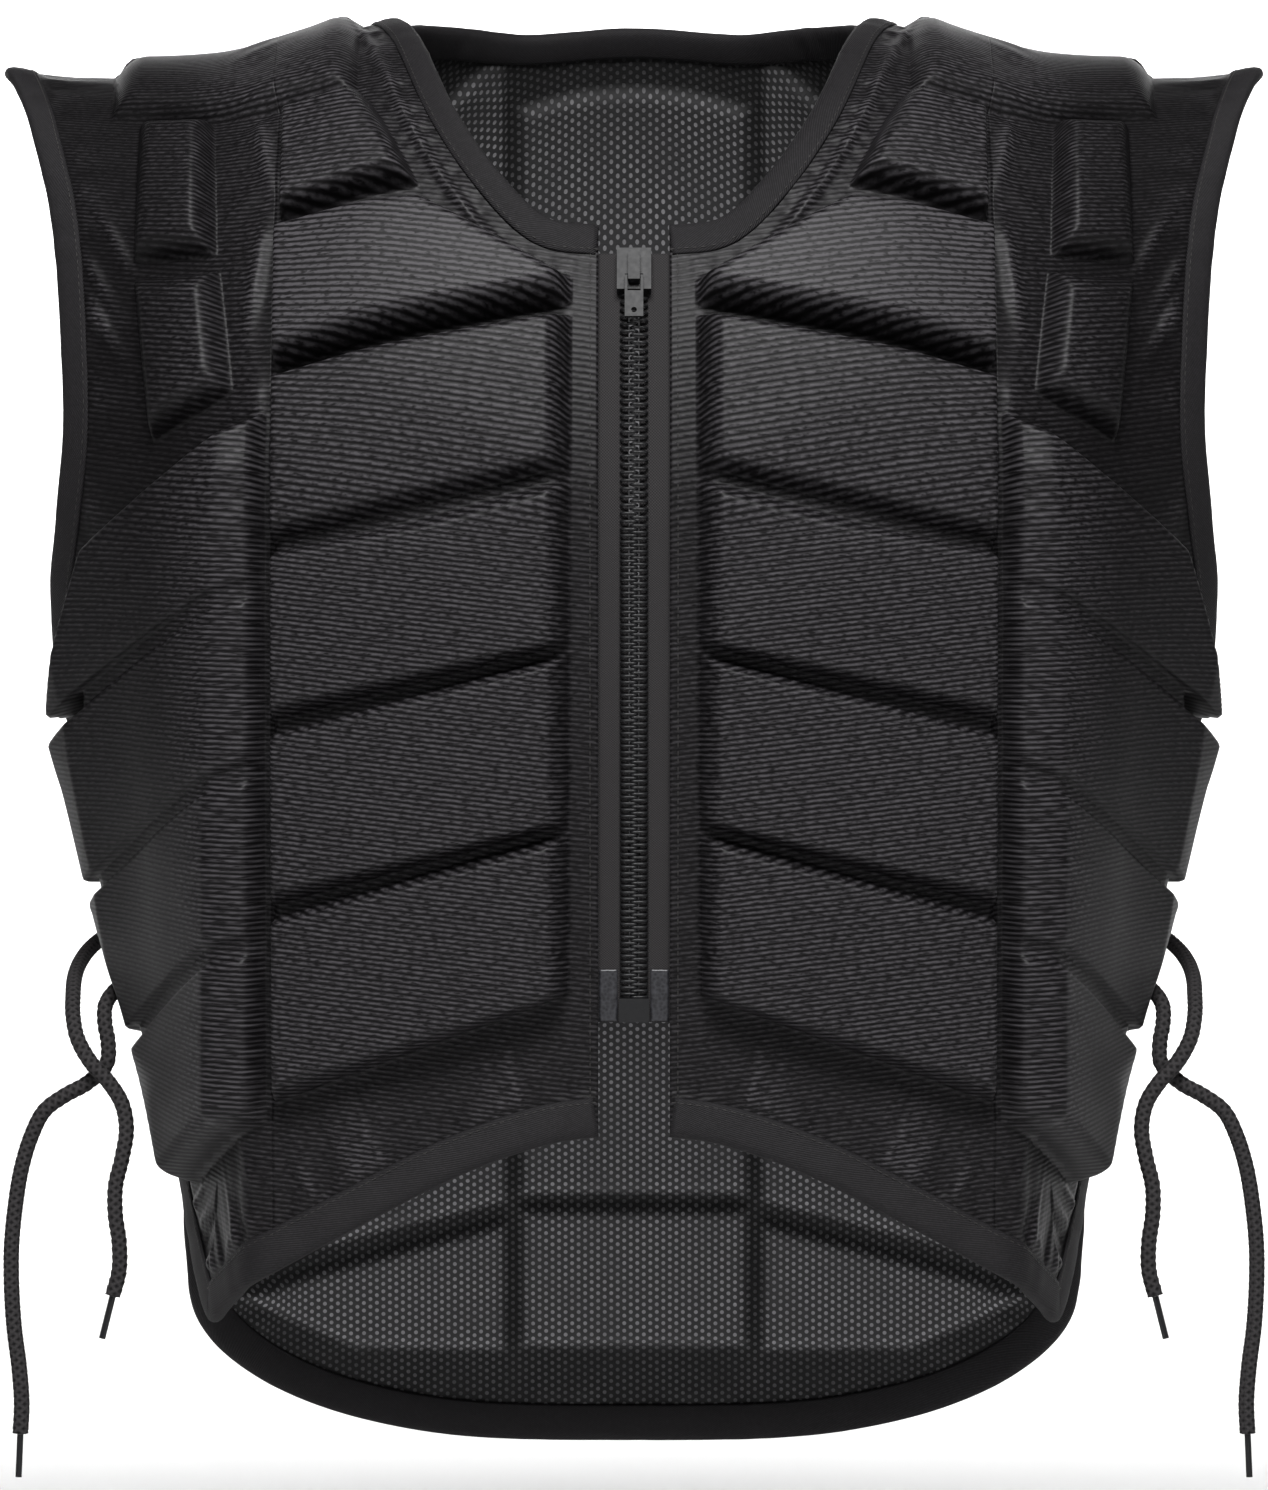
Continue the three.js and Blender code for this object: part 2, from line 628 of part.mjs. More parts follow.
// Cover shells: a thin wall over the whole panel
const wall = [
  { height: 0, inset: 0 },
  { height: SHELL, inset: 0 },
];
const roomWall = [
  { height: -CUT_DEEP, inset: 0 },
  { height: SHELL + 2 * CLEAR, inset: 0 },
];
const frontSheet = (u, v) => belowSeam(frontPatch(u, v));
const backSheet = (u, v) => belowSeam(backPatch(u, v));
const frontCuts = [cutters.neck, cutters.arm, cutters.hem, ...eyeletCutters(sideEdge, false)];
const frontWhole = solidOf(block(frontSheet, wall, FRONT_COLUMNS, FRONT_ROWS, false));
addPair("front_shell", geometryOf(trimmed(frontWhole, frontCuts)), cloth);
const backCuts = [
  cutters.neck,
  cutters.arm,
  mirrorSolid(cutters.arm),
  cutters.tail,
  ...eyeletCutters(backSide, true),
  ...eyeletCutters(backSide, true, -1),
];
const backWhole = solidOf(block(backSheet, wall, BACK_COLUMNS, BACK_ROWS, true));
add("back_shell", geometryOf(trimmed(backWhole, backCuts)), cloth);
// The room that the shells take, which everything on them is trimmed by.
const roomSheet = (patch) => (u, v) => pastSeam(patch(u, v));
const frontRoom = solidOf(block(roomSheet(frontPatch), roomWall, FRONT_COLUMNS, FRONT_ROWS, false));
const backRoom = solidOf(block(roomSheet(backPatch), roomWall, BACK_COLUMNS, BACK_ROWS, true));
const edgeRoom = [cutters.neck, cutters.arm, cutters.hem, cutters.tail];

add("neck_binding", bound(BINDINGS.neck, foldedTape(NECK_BINDING_WIDTH)), tapeCloth);
addPair("arm_binding", bound(BINDINGS.arm, foldedTape(ARM_BINDING_WIDTH)), tapeCloth);
const hemWhole = solidOf(bound(BINDINGS.hem, foldedTape(HEM_BINDING_WIDTH)));
addPair("hem_binding", geometryOf(trimmed(hemWhole, [cutters.arm])), tapeCloth);
const tailWhole = solidOf(bound(BINDINGS.tail, foldedTape(HEM_BINDING_WIDTH)));
const armCuts = [cutters.arm, mirrorSolid(cutters.arm)];
add("tail_binding", geometryOf(trimmed(tailWhole, armCuts)), tapeCloth);

// Foam blocks. Each row of a column lies between two grooves, which are shares of LENGTH at the
// column's inner and outer side.
const SUNK = 2; // how deep in the shell a block is drawn, before the shell's room is cut from it
const padLayers = (thick) => [
  { height: SHELL - SUNK, inset: 0 },
  { height: SHELL + CLEAR + thick - CHAMFER, inset: 0 },
  { height: SHELL + CLEAR + thick, inset: CHAMFER },
];
const USUAL_BLOCK = { thick: PAD, columns: 3, rows: 2, onBack: false, paired: true };
function addBlock(name, patch, choices = {}) {
  const { thick, columns, rows, onBack, paired } = { ...USUAL_BLOCK, ...choices };
  const whole = solidOf(block(patch, padLayers(thick), columns, rows, onBack));
  const room = [frontRoom, ...edgeRoom];
  add(paired ? `${name}_left` : name, geometryOf(trimmed(whole, [backRoom, ...room])), foam);
  if (!paired) return;
  const right = trimmed(mirrorSolid(whole), [backRoom, ...room.map(mirrorSolid)]);
  add(`${name}_right`, geometryOf(right), foam);
}
function column(grooves, inner, outer) {
  const half = GROOVE / 2;
  return grooves.slice(1).map((low, i) => {
    const high = grooves[i];
    return fourSided(
      flatPoint(inner(low), low.inner * LENGTH + half),
      flatPoint(outer(low), low.outer * LENGTH + half),
      flatPoint(outer(high), high.outer * LENGTH - half),
      flatPoint(inner(high), high.inner * LENGTH - half),
    );
  });
}
const CHEST_GROOVES = [
  { inner: -0.2075, outer: -0.2365 },
  { inner: -0.298, outer: -0.339 },
  { inner: -0.408, outer: -0.462 },
  { inner: -0.529, outer: -0.588 },
  { inner: -0.646, outer: -0.722 },
];
const chestInner = () => ZIP_HALF + PAD_MARGIN;
const chestOuter = () => CREASE - GROOVE / 2;
column(CHEST_GROOVES, chestInner, chestOuter).forEach((patch, i) => {
  addBlock(`pad_chest_${i + 2}`, patch);
});

// The top chest block follows the neckline on its upper side.
const CHEST_TOP = [
  { across: 0.12, up: -0.18 },
  { across: 0.2, up: -0.166 },
  { across: 0.285, up: -0.137 },
  { across: 0.466, up: -0.147 },
];
const chestLow = (across, up) => flatPoint(across, up * LENGTH + GROOVE / 2);
const chestLowInner = chestLow(chestInner(), CHEST_GROOVES[0].inner);
const chestLowOuter = chestLow(chestOuter(), CHEST_GROOVES[0].outer);
const chestTopEdge = edge([
  [chestInner(), CHEST_TOP[0].up * LENGTH],
  ...shares(CHEST_TOP.slice(1)),
]);
const chestTop = patchOf(
  straight(chestLowInner, chestLowOuter),
  chestTopEdge,
  straight(chestLowInner, chestTopEdge(0)),
  straight(chestLowOuter, chestTopEdge(1)),
);
addBlock("pad_chest_1", chestTop, { columns: 4 });
const onFlat = ({ across, up }) => flatPoint(across * QUARTER, up * LENGTH);
const COLLARBONE = [
  { across: 0.285, up: -0.121 },
  { across: 0.466, up: -0.131 },
  { across: 0.466, up: -0.055 },
  { across: 0.352, up: -0.055 },
];
const collarbone = fourSided(...COLLARBONE.map(onFlat));
addBlock("pad_collarbone", collarbone, { columns: 2, rows: 3 });

// The shoulder block lies over the ridge, from the front to the back.
const SHOULDER = [
  { across: 0.37, up: -0.04 },
  { across: 0.735, up: -0.006 },
  { across: 0.735, up: 0.245 },
  { across: 0.37, up: 0.245 },
];
const shoulder = fourSided(...SHOULDER.map(onFlat));
addBlock("pad_shoulder", shoulder, { thick: SHOULDER_PAD, rows: 5 });

// Two small blocks lie on the front of the arm, above the side column.
const ARM_PADS = [
  [
    { across: 0.56, up: -0.15 },
    { across: 0.69, up: -0.15 },
    { across: 0.69, up: -0.02 },
    { across: 0.575, up: -0.026 },
  ],
  [
    { across: 0.53, up: -0.244 },
    { across: 0.66, up: -0.27 },
    { across: 0.69, up: -0.162 },
    { across: 0.555, up: -0.162 },
  ],
];
ARM_PADS.forEach((corners, i) => {
  addBlock(`pad_arm_${i + 1}`, fourSided(...corners.map(onFlat)), { thick: THIN_PAD, columns: 2 });
});

// The side column follows the side edge, and its grooves fall away from the chest.
const SIDE_MARGIN = 28; // side edge to the blocks
const SIDE_GROOVES = [
  { inner: -0.256, outer: -0.322 },
  { inner: -0.366, outer: -0.452 },
  { inner: -0.49, outer: -0.57 },
  { inner: -0.609, outer: -0.681 },
  { inner: -0.736, outer: -0.785 },
];
// How far across a rising edge is at a height.
function acrossAt(line, up) {
  let [low, high] = [0, 1];
  for (let i = 0; i < 30; i += 1) {
    const mid = (low + high) / 2;
    if (line(mid).y < up) low = mid;
    else high = mid;
  }
  return line(low).x;
}
const SIDE_TOP_OUTER = 0.76; // the top block's outer upper corner, which stays clear of the armhole
function sideOuter(row) {
  if (row === SIDE_GROOVES[0]) return SIDE_TOP_OUTER * QUARTER;
  return acrossAt(sideEdge, row.outer * LENGTH) - SIDE_MARGIN;
}
const sideInner = () => CREASE_END - GROOVE / 2;
column(SIDE_GROOVES, sideInner, sideOuter).forEach((patch, i) => {
  addBlock(`pad_side_${i + 1}`, patch);
});

// Back blocks: one spine column, and a wide column on each flank
const SPINE_HALF = 50;
const SPINE_GROOVES = [
  { inner: -0.08, outer: -0.08 },
  { inner: -0.32, outer: -0.32 },
  { inner: -0.55, outer: -0.55 },
  { inner: -0.815, outer: -0.815 },
  { inner: -0.93, outer: -0.93 },
];
const spineEdge = SPINE_HALF - GROOVE / 2;
const spineLeft = () => -spineEdge;
const spineRight = () => spineEdge;
column(SPINE_GROOVES, spineLeft, spineRight).forEach((patch, i) => {
  addBlock(`pad_spine_${i + 1}`, patch, { onBack: true, paired: false });
});
const FLANK_GROOVES = [
  { inner: -0.03, outer: -0.1, reach: 0.7 },
  { inner: -0.32, outer: -0.38, reach: 0.69 },
  { inner: -0.55, outer: -0.63, reach: 0.61 },
  { inner: -0.82, outer: -0.87, reach: 0.585 },
];
const flankInner = () => SPINE_HALF + GROOVE / 2;
const flankOuter = (row) => row.reach * QUARTER;
column(FLANK_GROOVES, flankInner, flankOuter).forEach((patch, i) => {
  addBlock(`pad_flank_${i + 1}`, patch, { columns: 5, onBack: true });
});

// Zip. Heights here are above the cloth's inner face; the tapes lie under the covers.
const ZIP_END = -0.662 * LENGTH;
const TAPE_TOP_SIDE = -1.2 * CLEAR; // the tapes' outer face, under the covers
const tapePatch = fourSided(
  flatPoint(TAPE_GAP, ZIP_END),
  flatPoint(ZIP_HALF + TAPE_UNDER, ZIP_END),
  flatPoint(ZIP_HALF + TAPE_UNDER, zipTop.up * LENGTH - NECK_BINDING_WIDTH),
  flatPoint(TAPE_GAP, zipTop.up * LENGTH),
);
const tapeLayers = [
  { height: TAPE_TOP_SIDE - TAPE, inset: 0 },
  { height: TAPE_TOP_SIDE, inset: 0 },
];
// The covers' room over the tapes, which the tapes are trimmed by
const roomOverTape = [
  { height: TAPE_TOP_SIDE - CLEAR / 4, inset: 0 },
  { height: PAD, inset: 0 },
];
const zipRoom = solidOf(block(frontPatch, roomOverTape, FRONT_COLUMNS, FRONT_ROWS, false));
const tape = trimmed(solidOf(block(tapePatch, tapeLayers, 1, 18, false)), [zipRoom, cutters.neck]);
addPair("zip_tape", geometryOf(tape), tapeCloth);

const SLIDER_LEVEL = -101;
const BOX_LEVEL = ZIP_END + BOX_LENGTH / 2 + CLEAR;
const coilTop = SLIDER_LEVEL - SLIDER_LENGTH / 2 - CLEAR;
const coilLow = BOX_LEVEL + BOX_LENGTH / 2 + CLEAR;
const COIL_CREST = 0.72; // where each row's crest is, as a share of the half width
const coilSection = [
  [-COIL_HALF, 0],
  [COIL_HALF, 0],
  [COIL_HALF, COIL_HEIGHT * COIL_CREST],
  [COIL_HALF * COIL_CREST, COIL_HEIGHT],
  [-COIL_HALF * COIL_CREST, COIL_HEIGHT],
  [-COIL_HALF, COIL_HEIGHT * COIL_CREST],
];
const coilPath = straight(flatPoint(0, coilTop), flatPoint(0, coilLow));
add("zip_coil", strip(coilPath, 12, coilSection, false), nylon);

// A box with its low corner and its size in a seat's frame: across, up, out.
function slab(low, size) {
  const box = new THREE.BoxGeometry(...size);
  box.translate(low[0] + size[0] / 2, low[1] + size[1] / 2, low[2] + size[2] / 2);
  return solidOf(box);
}
const placed = (solid, level) => seated(geometryOf(solid), 0, level);
const joined = (solids) => solids.reduce((sum, solid) => sum.add(solid));

// The slider rides over the coil: a plate with a lip down each side, and a bail on top.
const RIDE = COIL_HEIGHT + 0.5; // the plate's underside above the tapes
const BAIL_LENGTH = SLIDER_LENGTH * 0.72;
const bailBase = RIDE + SLIDER_PLATE;
const bailOpening = 2 * PULL_PLAY;
const lip = COIL_HALF + 0.4;
const half = SLIDER_WIDTH / 2;
const low = -SLIDER_LENGTH / 2;
const bailSide = -BAIL_WIDTH / 2;
const bailLow = -BAIL_LENGTH / 2;
const bailFoot = bailBase - 0.2; // the posts start inside the plate
const post = bailOpening + BAIL_THICK + 0.2;
const slider = joined([
  slab([-half, low, RIDE], [SLIDER_WIDTH, SLIDER_LENGTH, SLIDER_PLATE]),
  slab([lip, low, 0], [half - lip, SLIDER_LENGTH, RIDE + CLEAR]),
  slab([-half, low, 0], [half - lip, SLIDER_LENGTH, RIDE + CLEAR]),
  slab([bailSide, bailLow, bailFoot], [BAIL_WIDTH, BAIL_THICK, post]),
  slab([bailSide, -bailLow - 2 * BAIL_THICK, bailFoot], [BAIL_WIDTH, 2 * BAIL_THICK, post]),
  slab([bailSide, bailLow, bailBase + bailOpening], [BAIL_WIDTH, BAIL_LENGTH, BAIL_THICK]),
]);
add("zip_slider", placed(slider, SLIDER_LEVEL), enamel);

// The pull hangs by a bar inside the bail, and its two legs pass the bail on either side.
const barUp = -BAIL_LENGTH / 2 + BAIL_THICK + PULL_BAR / 2 + 0.4;
const barOut = bailBase + PULL_PLAY;
const bar = new THREE.CylinderGeometry(PULL_BAR / 2, PULL_BAR / 2, PULL_WIDTH, 12);
bar.rotateZ(Math.PI / 2);
bar.translate(0, barUp, barOut);
const legWidth = (PULL_WIDTH - BAIL_WIDTH) / 2 - 0.3;
const legDrop = PULL_SLOT + PULL_BAR / 2;
const plateDrop = PULL_LENGTH - PULL_SLOT;
const pullLow = barOut - PULL_THICK / 2;
const hole = new THREE.CylinderGeometry(PULL_HOLE_RADIUS, PULL_HOLE_RADIUS, 3 * PULL_THICK, 12);
hole.rotateX(Math.PI / 2);
hole.translate(0, barUp - PULL_LENGTH + 2.4 * PULL_HOLE_RADIUS, barOut);
const pull = joined([
  solidOf(bar),
  slab([-PULL_WIDTH / 2, barUp - legDrop, pullLow], [legWidth, legDrop, PULL_THICK]),
  slab([PULL_WIDTH / 2 - legWidth, barUp - legDrop, pullLow], [legWidth, legDrop, PULL_THICK]),
  slab([-PULL_WIDTH / 2, barUp - PULL_LENGTH, pullLow], [PULL_WIDTH, plateDrop, PULL_THICK]),
]).subtract(solidOf(hole));
add("zip_pull", placed(pull, SLIDER_LEVEL), enamel);

const boxHalf = BOX_WIDTH / 2;
const boxSize = [BOX_WIDTH, BOX_LENGTH, COIL_HEIGHT + SLIDER_PLATE];
const box = slab([-boxHalf, -BOX_LENGTH / 2, CLEAR], boxSize);
add("zip_box", placed(box, BOX_LEVEL), nylon);

// Side laces. Each side has two strands that leave the lowest eyelets, cross in a loose bow and hang
// down to their moulded tips. Their routes are chosen by hand, for the wearer's left side.
const LONG_ROUTE = [
  [186.4, -7.3, -354.5],
  [193, -9.4, -355.3],
  [200, -12, -356.5],
  [206, -15.5, -359.5],
  [209.5, -19, -365],
  [209.5, -22, -372],
  [208, -24, -380],
  [208.5, -25.5, -388],
  [216, -26, -395.5],
  [225, -26, -400.5],
  [233, -26, -406.5],
  [238, -26, -416],
  [242, -26, -429],
  [244.5, -26, -444],
  [246, -26, -460],
  [246, -26, -476],
  [245, -26, -492],
  [243, -26, -508],
  [242, -26, -522],
  [242.5, -26, -534],
];
const SHORT_ROUTE = [
  [179, 36.3, -327.7],
  [185.5, 42.3, -328.6],
  [192, 47.2, -330],
  [199.5, 49.5, -332],
  [207.5, 48, -335],
  [215, 41.5, -339.5],
  [220.5, 30, -344.5],
  [223.3, 15, -350],
  [223.8, 0, -355.5],
  [223, -13, -361.5],
  [222, -23, -369],
  [219.5, -29.5, -378],
  [214, -33, -387],
  [207, -34.5, -394.5],
  [201.5, -36, -403],
  [199.5, -38, -413],
  [201, -40, -424],
  [203.5, -41, -435],
  [203.5, -42, -446],
  [202, -42, -457],
  [202, -42, -468],
  [204.5, -42, -478],
];
const laceShape = new THREE.Shape(
  Array.from({ length: LACE_SIDES }, (_, k) => {
    const turn = (k * 2 * Math.PI) / LACE_SIDES;
    return flatPoint((LACE / 2) * Math.cos(turn), (LACE / 2) * Math.sin(turn));
  }),
);
function lace(route) {
  const path = new THREE.CatmullRomCurve3(
    route.map((p) => new THREE.Vector3(...p)),
    false,
    "centripetal",
  );
  const steps = Math.round(path.getLength() / (1.4 * LACE));
  return new THREE.ExtrudeGeometry(laceShape, { steps, extrudePath: path, bevelEnabled: false });
}
// A tip carries on in the direction that its lace ends in.
function laceTip(route) {
  const [before, end] = route.slice(-2).map((p) => new THREE.Vector3(...p));
  const ahead = end.clone().sub(before).normalize();
  const tip = new THREE.CylinderGeometry(TIP / 2, TIP / 2, TIP_LENGTH, LACE_SIDES);
  tip.applyQuaternion(new THREE.Quaternion().setFromUnitVectors(new THREE.Vector3(0, 1, 0), ahead));
  const middle = end.addScaledVector(ahead, CLEAR + TIP_LENGTH / 2);
  tip.translate(middle.x, middle.y, middle.z);
  return tip;
}
addPair("lace_long", lace(LONG_ROUTE), braid);
addPair("lace_short", lace(SHORT_ROUTE), braid);
addPair("lace_long_tip", laceTip(LONG_ROUTE), nylon);
addPair("lace_short_tip", laceTip(SHORT_ROUTE), nylon);

export default vest;
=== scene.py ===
import math

import bpy
import numpy as np
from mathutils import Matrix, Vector


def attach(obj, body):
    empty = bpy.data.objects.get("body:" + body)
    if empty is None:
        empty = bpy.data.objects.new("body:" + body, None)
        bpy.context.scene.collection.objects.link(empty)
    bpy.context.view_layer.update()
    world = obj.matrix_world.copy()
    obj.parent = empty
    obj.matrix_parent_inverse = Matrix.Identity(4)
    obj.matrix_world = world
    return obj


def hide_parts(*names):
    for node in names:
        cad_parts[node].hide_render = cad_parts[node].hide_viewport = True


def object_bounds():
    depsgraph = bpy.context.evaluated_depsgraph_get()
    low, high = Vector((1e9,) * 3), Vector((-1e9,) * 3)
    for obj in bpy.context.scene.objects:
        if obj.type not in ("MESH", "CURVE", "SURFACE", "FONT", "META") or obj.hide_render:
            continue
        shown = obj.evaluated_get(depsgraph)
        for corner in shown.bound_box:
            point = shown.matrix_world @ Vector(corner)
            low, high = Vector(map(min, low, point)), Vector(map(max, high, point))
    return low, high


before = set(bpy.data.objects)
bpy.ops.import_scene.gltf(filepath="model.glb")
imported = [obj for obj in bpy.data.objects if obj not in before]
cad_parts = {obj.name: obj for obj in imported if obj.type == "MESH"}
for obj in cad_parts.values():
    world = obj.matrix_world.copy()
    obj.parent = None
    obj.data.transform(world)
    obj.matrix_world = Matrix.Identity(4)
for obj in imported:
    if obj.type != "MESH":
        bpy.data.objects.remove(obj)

cad_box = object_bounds()

# The view and the studio. The photograph looks level at the vest from a little over two metres, on
# a white sweep, under one broad soft light from above the camera, with the sweep lit by itself.
scene = bpy.context.scene
scene.view_settings.view_transform = "Standard"
VIEW_DISTANCE = 2.2
VIEW_HEIGHT = -0.262
camera_data = bpy.data.cameras.new("camera")
camera_data.sensor_fit = "VERTICAL"
camera_data.sensor_height = 24
camera_data.lens = 88.6
camera = bpy.data.objects.new("camera", camera_data)
camera.location = (0, -VIEW_DISTANCE, VIEW_HEIGHT)
camera.rotation_euler = (math.radians(90), 0, 0)
scene.collection.objects.link(camera)
scene.camera = camera


def linear(hex_colour):
    channels = [int(hex_colour[i : i + 2], 16) / 255 for i in (0, 2, 4)]
    return tuple(c / 12.92 if c <= 0.04045 else ((c + 0.055) / 1.055) ** 2.4 for c in channels) + (1.0,)


def soft_light(name, place, target, size, power):
    data = bpy.data.lights.new(name, "AREA")
    data.shape = "RECTANGLE"
    data.size, data.size_y = size
    data.energy = power
    light = bpy.data.objects.new(name, data)
    light.location = place
    light.rotation_euler = Vector(np.subtract(target, place)).to_track_quat("-Z", "Y").to_euler()
    scene.collection.objects.link(light)


CHEST = (0, -0.1, -0.25)
soft_light("front_softbox", (0, -2.1, 1.75), CHEST, (1.4, 0.9), 116)
soft_light("backdrop_light", (0, 1.3, 0.8), (0, 2.35, 0.3), (2.4, 0.5), 60)

world = bpy.data.worlds.new("studio")
world.use_nodes = True
world.node_tree.nodes["Background"].inputs["Color"].default_value = linear("ffffff")
world.node_tree.nodes["Background"].inputs["Strength"].default_value = 0.05
scene.world = world

FLOOR_DROP = 0.12
floor_level = cad_box[0][2] - FLOOR_DROP
SWEEP = [(-4, 0), (1.2, 0), (1.8, 0.12), (2.2, 0.5), (2.35, 1.1), (2.35, 4)]
sweep_points = [(x, y, floor_level + z) for x in (-5, 5) for y, z in SWEEP]
count = len(SWEEP)
sweep_faces = [(i, i + count, i + count + 1, i + 1) for i in range(count - 1)]
sweep_mesh = bpy.data.meshes.new("floor")
sweep_mesh.from_pydata(sweep_points, [], sweep_faces)
floor = bpy.data.objects.new("floor", sweep_mesh)
scene.collection.objects.link(floor)
paper = bpy.data.materials.new("white_paper")
paper.use_nodes = True
paper.node_tree.nodes["Principled BSDF"].inputs["Base Color"].default_value = linear("e4e4e4")
paper.node_tree.nodes["Principled BSDF"].inputs["Roughness"].default_value = 0.9
sweep_mesh.materials.append(paper)

# Side laces: round braided polyester cord, two strands on each side, which leave the eyelets,
# cross in a loose bow and hang down to their moulded tips.
MM = 0.001
LACE = 6.4 * MM
LONG_ROUTE = [
    (186.4, -7.3, -354.5),
    (193, -9.4, -355.3),
    (200, -12, -356.5),
    (206, -15.5, -359.5),
    (209.5, -19, -365),
    (209.5, -22, -372),
    (208, -24, -380),
    (208.5, -25.5, -388),
    (216, -26, -395.5),
    (225, -26, -400.5),
    (233, -26, -406.5),
    (238, -26, -416),
    (242, -26, -429),
    (244.5, -26, -444),
    (246, -26, -460),
    (246, -26, -476),
    (245, -26, -492),
    (243, -26, -508),
    (242, -26, -522),
    (242.5, -26, -534),
]
SHORT_ROUTE = [
    (179, 36.3, -327.7),
    (185.5, 42.3, -328.6),
    (192, 47.2, -330),
    (199.5, 49.5, -332),
    (207.5, 48, -335),
    (215, 41.5, -339.5),
    (220.5, 30, -344.5),
    (223.3, 15, -350),
    (223.8, 0, -355.5),
    (223, -13, -361.5),
    (222, -23, -369),
    (219.5, -29.5, -378),
    (214, -33, -387),
    (207, -34.5, -394.5),
    (201.5, -36, -403),
    (199.5, -38, -413),
    (201, -40, -424),
    (203.5, -41, -435),
    (203.5, -42, -446),
    (202, -42, -457),
    (202, -42, -468),
    (204.5, -42, -478),
]


def run_along(line):
    """Length from the start of a line to each of its points."""
    return np.concatenate([[0], np.cumsum(np.linalg.norm(np.diff(line, axis=0), axis=1))])


def smooth_route(points, step):
    """Even points along a smooth curve through given ones."""
    points = np.array(points, float)
    before = 2 * points[0] - points[1]
    after = 2 * points[-1] - points[-2]
    held = np.vstack([before, points, after])
    spans = np.sqrt(np.linalg.norm(np.diff(held, axis=0), axis=1))
    knots = np.concatenate([[0], np.cumsum(spans)])
    out = []
    for i in range(1, len(held) - 2):
        t0, t1, t2, t3 = knots[i - 1 : i + 3]
        p0, p1, p2, p3 = held[i - 1 : i + 3]
        t = np.linspace(t1, t2, 24, endpoint=False)[:, None]
        a1 = (t1 - t) / (t1 - t0) * p0 + (t - t0) / (t1 - t0) * p1
        a2 = (t2 - t) / (t2 - t1) * p1 + (t - t1) / (t2 - t1) * p2
        a3 = (t3 - t) / (t3 - t2) * p2 + (t - t2) / (t3 - t2) * p3
        b1 = (t2 - t) / (t2 - t0) * a1 + (t - t0) / (t2 - t0) * a2
        b2 = (t3 - t) / (t3 - t1) * a2 + (t - t1) / (t3 - t1) * a3
        out.append((t2 - t) / (t2 - t1) * b1 + (t - t1) / (t2 - t1) * b2)
    fine = np.vstack(out + [points[-1:]])
    run = run_along(fine)
    places = np.linspace(0, run[-1], max(2, round(run[-1] / step) + 1))
    return np.stack([np.interp(places, run, fine[:, k]) for k in range(3)], axis=1)


def carried_frames(path):
    """Directions across a path that turn with it and don't twist."""
    ahead = np.gradient(path, axis=0)
    ahead /= np.linalg.norm(ahead, axis=1)[:, None]
    side = np.cross(ahead[0], (0, 0, 1.0) if abs(ahead[0][2]) < 0.9 else (1.0, 0, 0))
    sides = []
    for direction in ahead:
        side = side - direction * side.dot(direction)
        side /= np.linalg.norm(side)
        sides.append(side)
    sides = np.array(sides)
    return sides, np.cross(ahead, sides)


def new_piece(name, points, faces, material, uv=None, smooth=True):
    """A mesh object in metres at the origin, with its material and, if given, a UV for each point."""
    mesh = bpy.data.meshes.new(name)
    mesh.from_pydata(np.asarray(points).tolist(), [], [list(map(int, f)) for f in faces])
    if uv is not None:
        layer = mesh.uv_layers.new(name="cloth")
        corner = np.zeros(len(mesh.loops), dtype=np.int32)
        mesh.loops.foreach_get("vertex_index", corner)
        layer.data.foreach_set("uv", np.asarray(uv, np.float32)[corner].ravel())
    mesh.polygons.foreach_set("use_smooth", [smooth] * len(mesh.polygons))
    mesh.materials.append(material)
    mesh.update()
    piece = bpy.data.objects.new(name, mesh)
    scene.collection.objects.link(piece)
    return piece


def ring_faces(rings, sides):
    """Faces between neighbouring rings of points."""
    turn = [(k, (k + 1) % sides) for k in range(sides)]
    starts = range(0, (rings - 1) * sides, sides)
    return [(a + k, a + m, a + sides + m, a + sides + k) for a in starts for k, m in turn]


def closed_faces(rings, sides):
    """The same with pointed ends, whose two tips are the points after the last ring."""
    low, last = rings * sides, (rings - 1) * sides
    faces = ring_faces(rings, sides)
    for k in range(sides):
        m = (k + 1) % sides
        faces.append((low, m, k))
        faces.append((low + 1, last + k, last + m))
    return faces


def tube(name, path, radius, sides, material, ridge=None):
    """A closed tube; ridge(along, round) gives the extra radius of a braid or a coil."""
    across, up = carried_frames(path)
    run = run_along(path)
    turn = np.arange(sides) * 2 * math.pi / sides
    reach = np.full((len(path), sides), radius)
    if ridge is not None:
        reach = reach + ridge(run[:, None], turn[None, :])
    ring = across[:, None] * np.cos(turn)[None, :, None] + up[:, None] * np.sin(turn)[None, :, None]
    points = (path[:, None] + ring * reach[..., None]).reshape(-1, 3)
    uv = np.stack(np.broadcast_arrays(turn[None, :] * radius, run[:, None]), axis=-1).reshape(-1, 2)
    points = np.vstack([points, path[:1], path[-1:]])
    uv = np.vstack([uv, [[0, 0]], [[0, run[-1]]]])
    return new_piece(name, points, closed_faces(len(path), sides), material, uv)


def carried(piece, slot, *nodes):
    """Ties a piece to the vest's body and hides the nodes that it replaces; the slot is not used."""
    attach(piece, "vest")
    if nodes:
        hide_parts(*nodes)


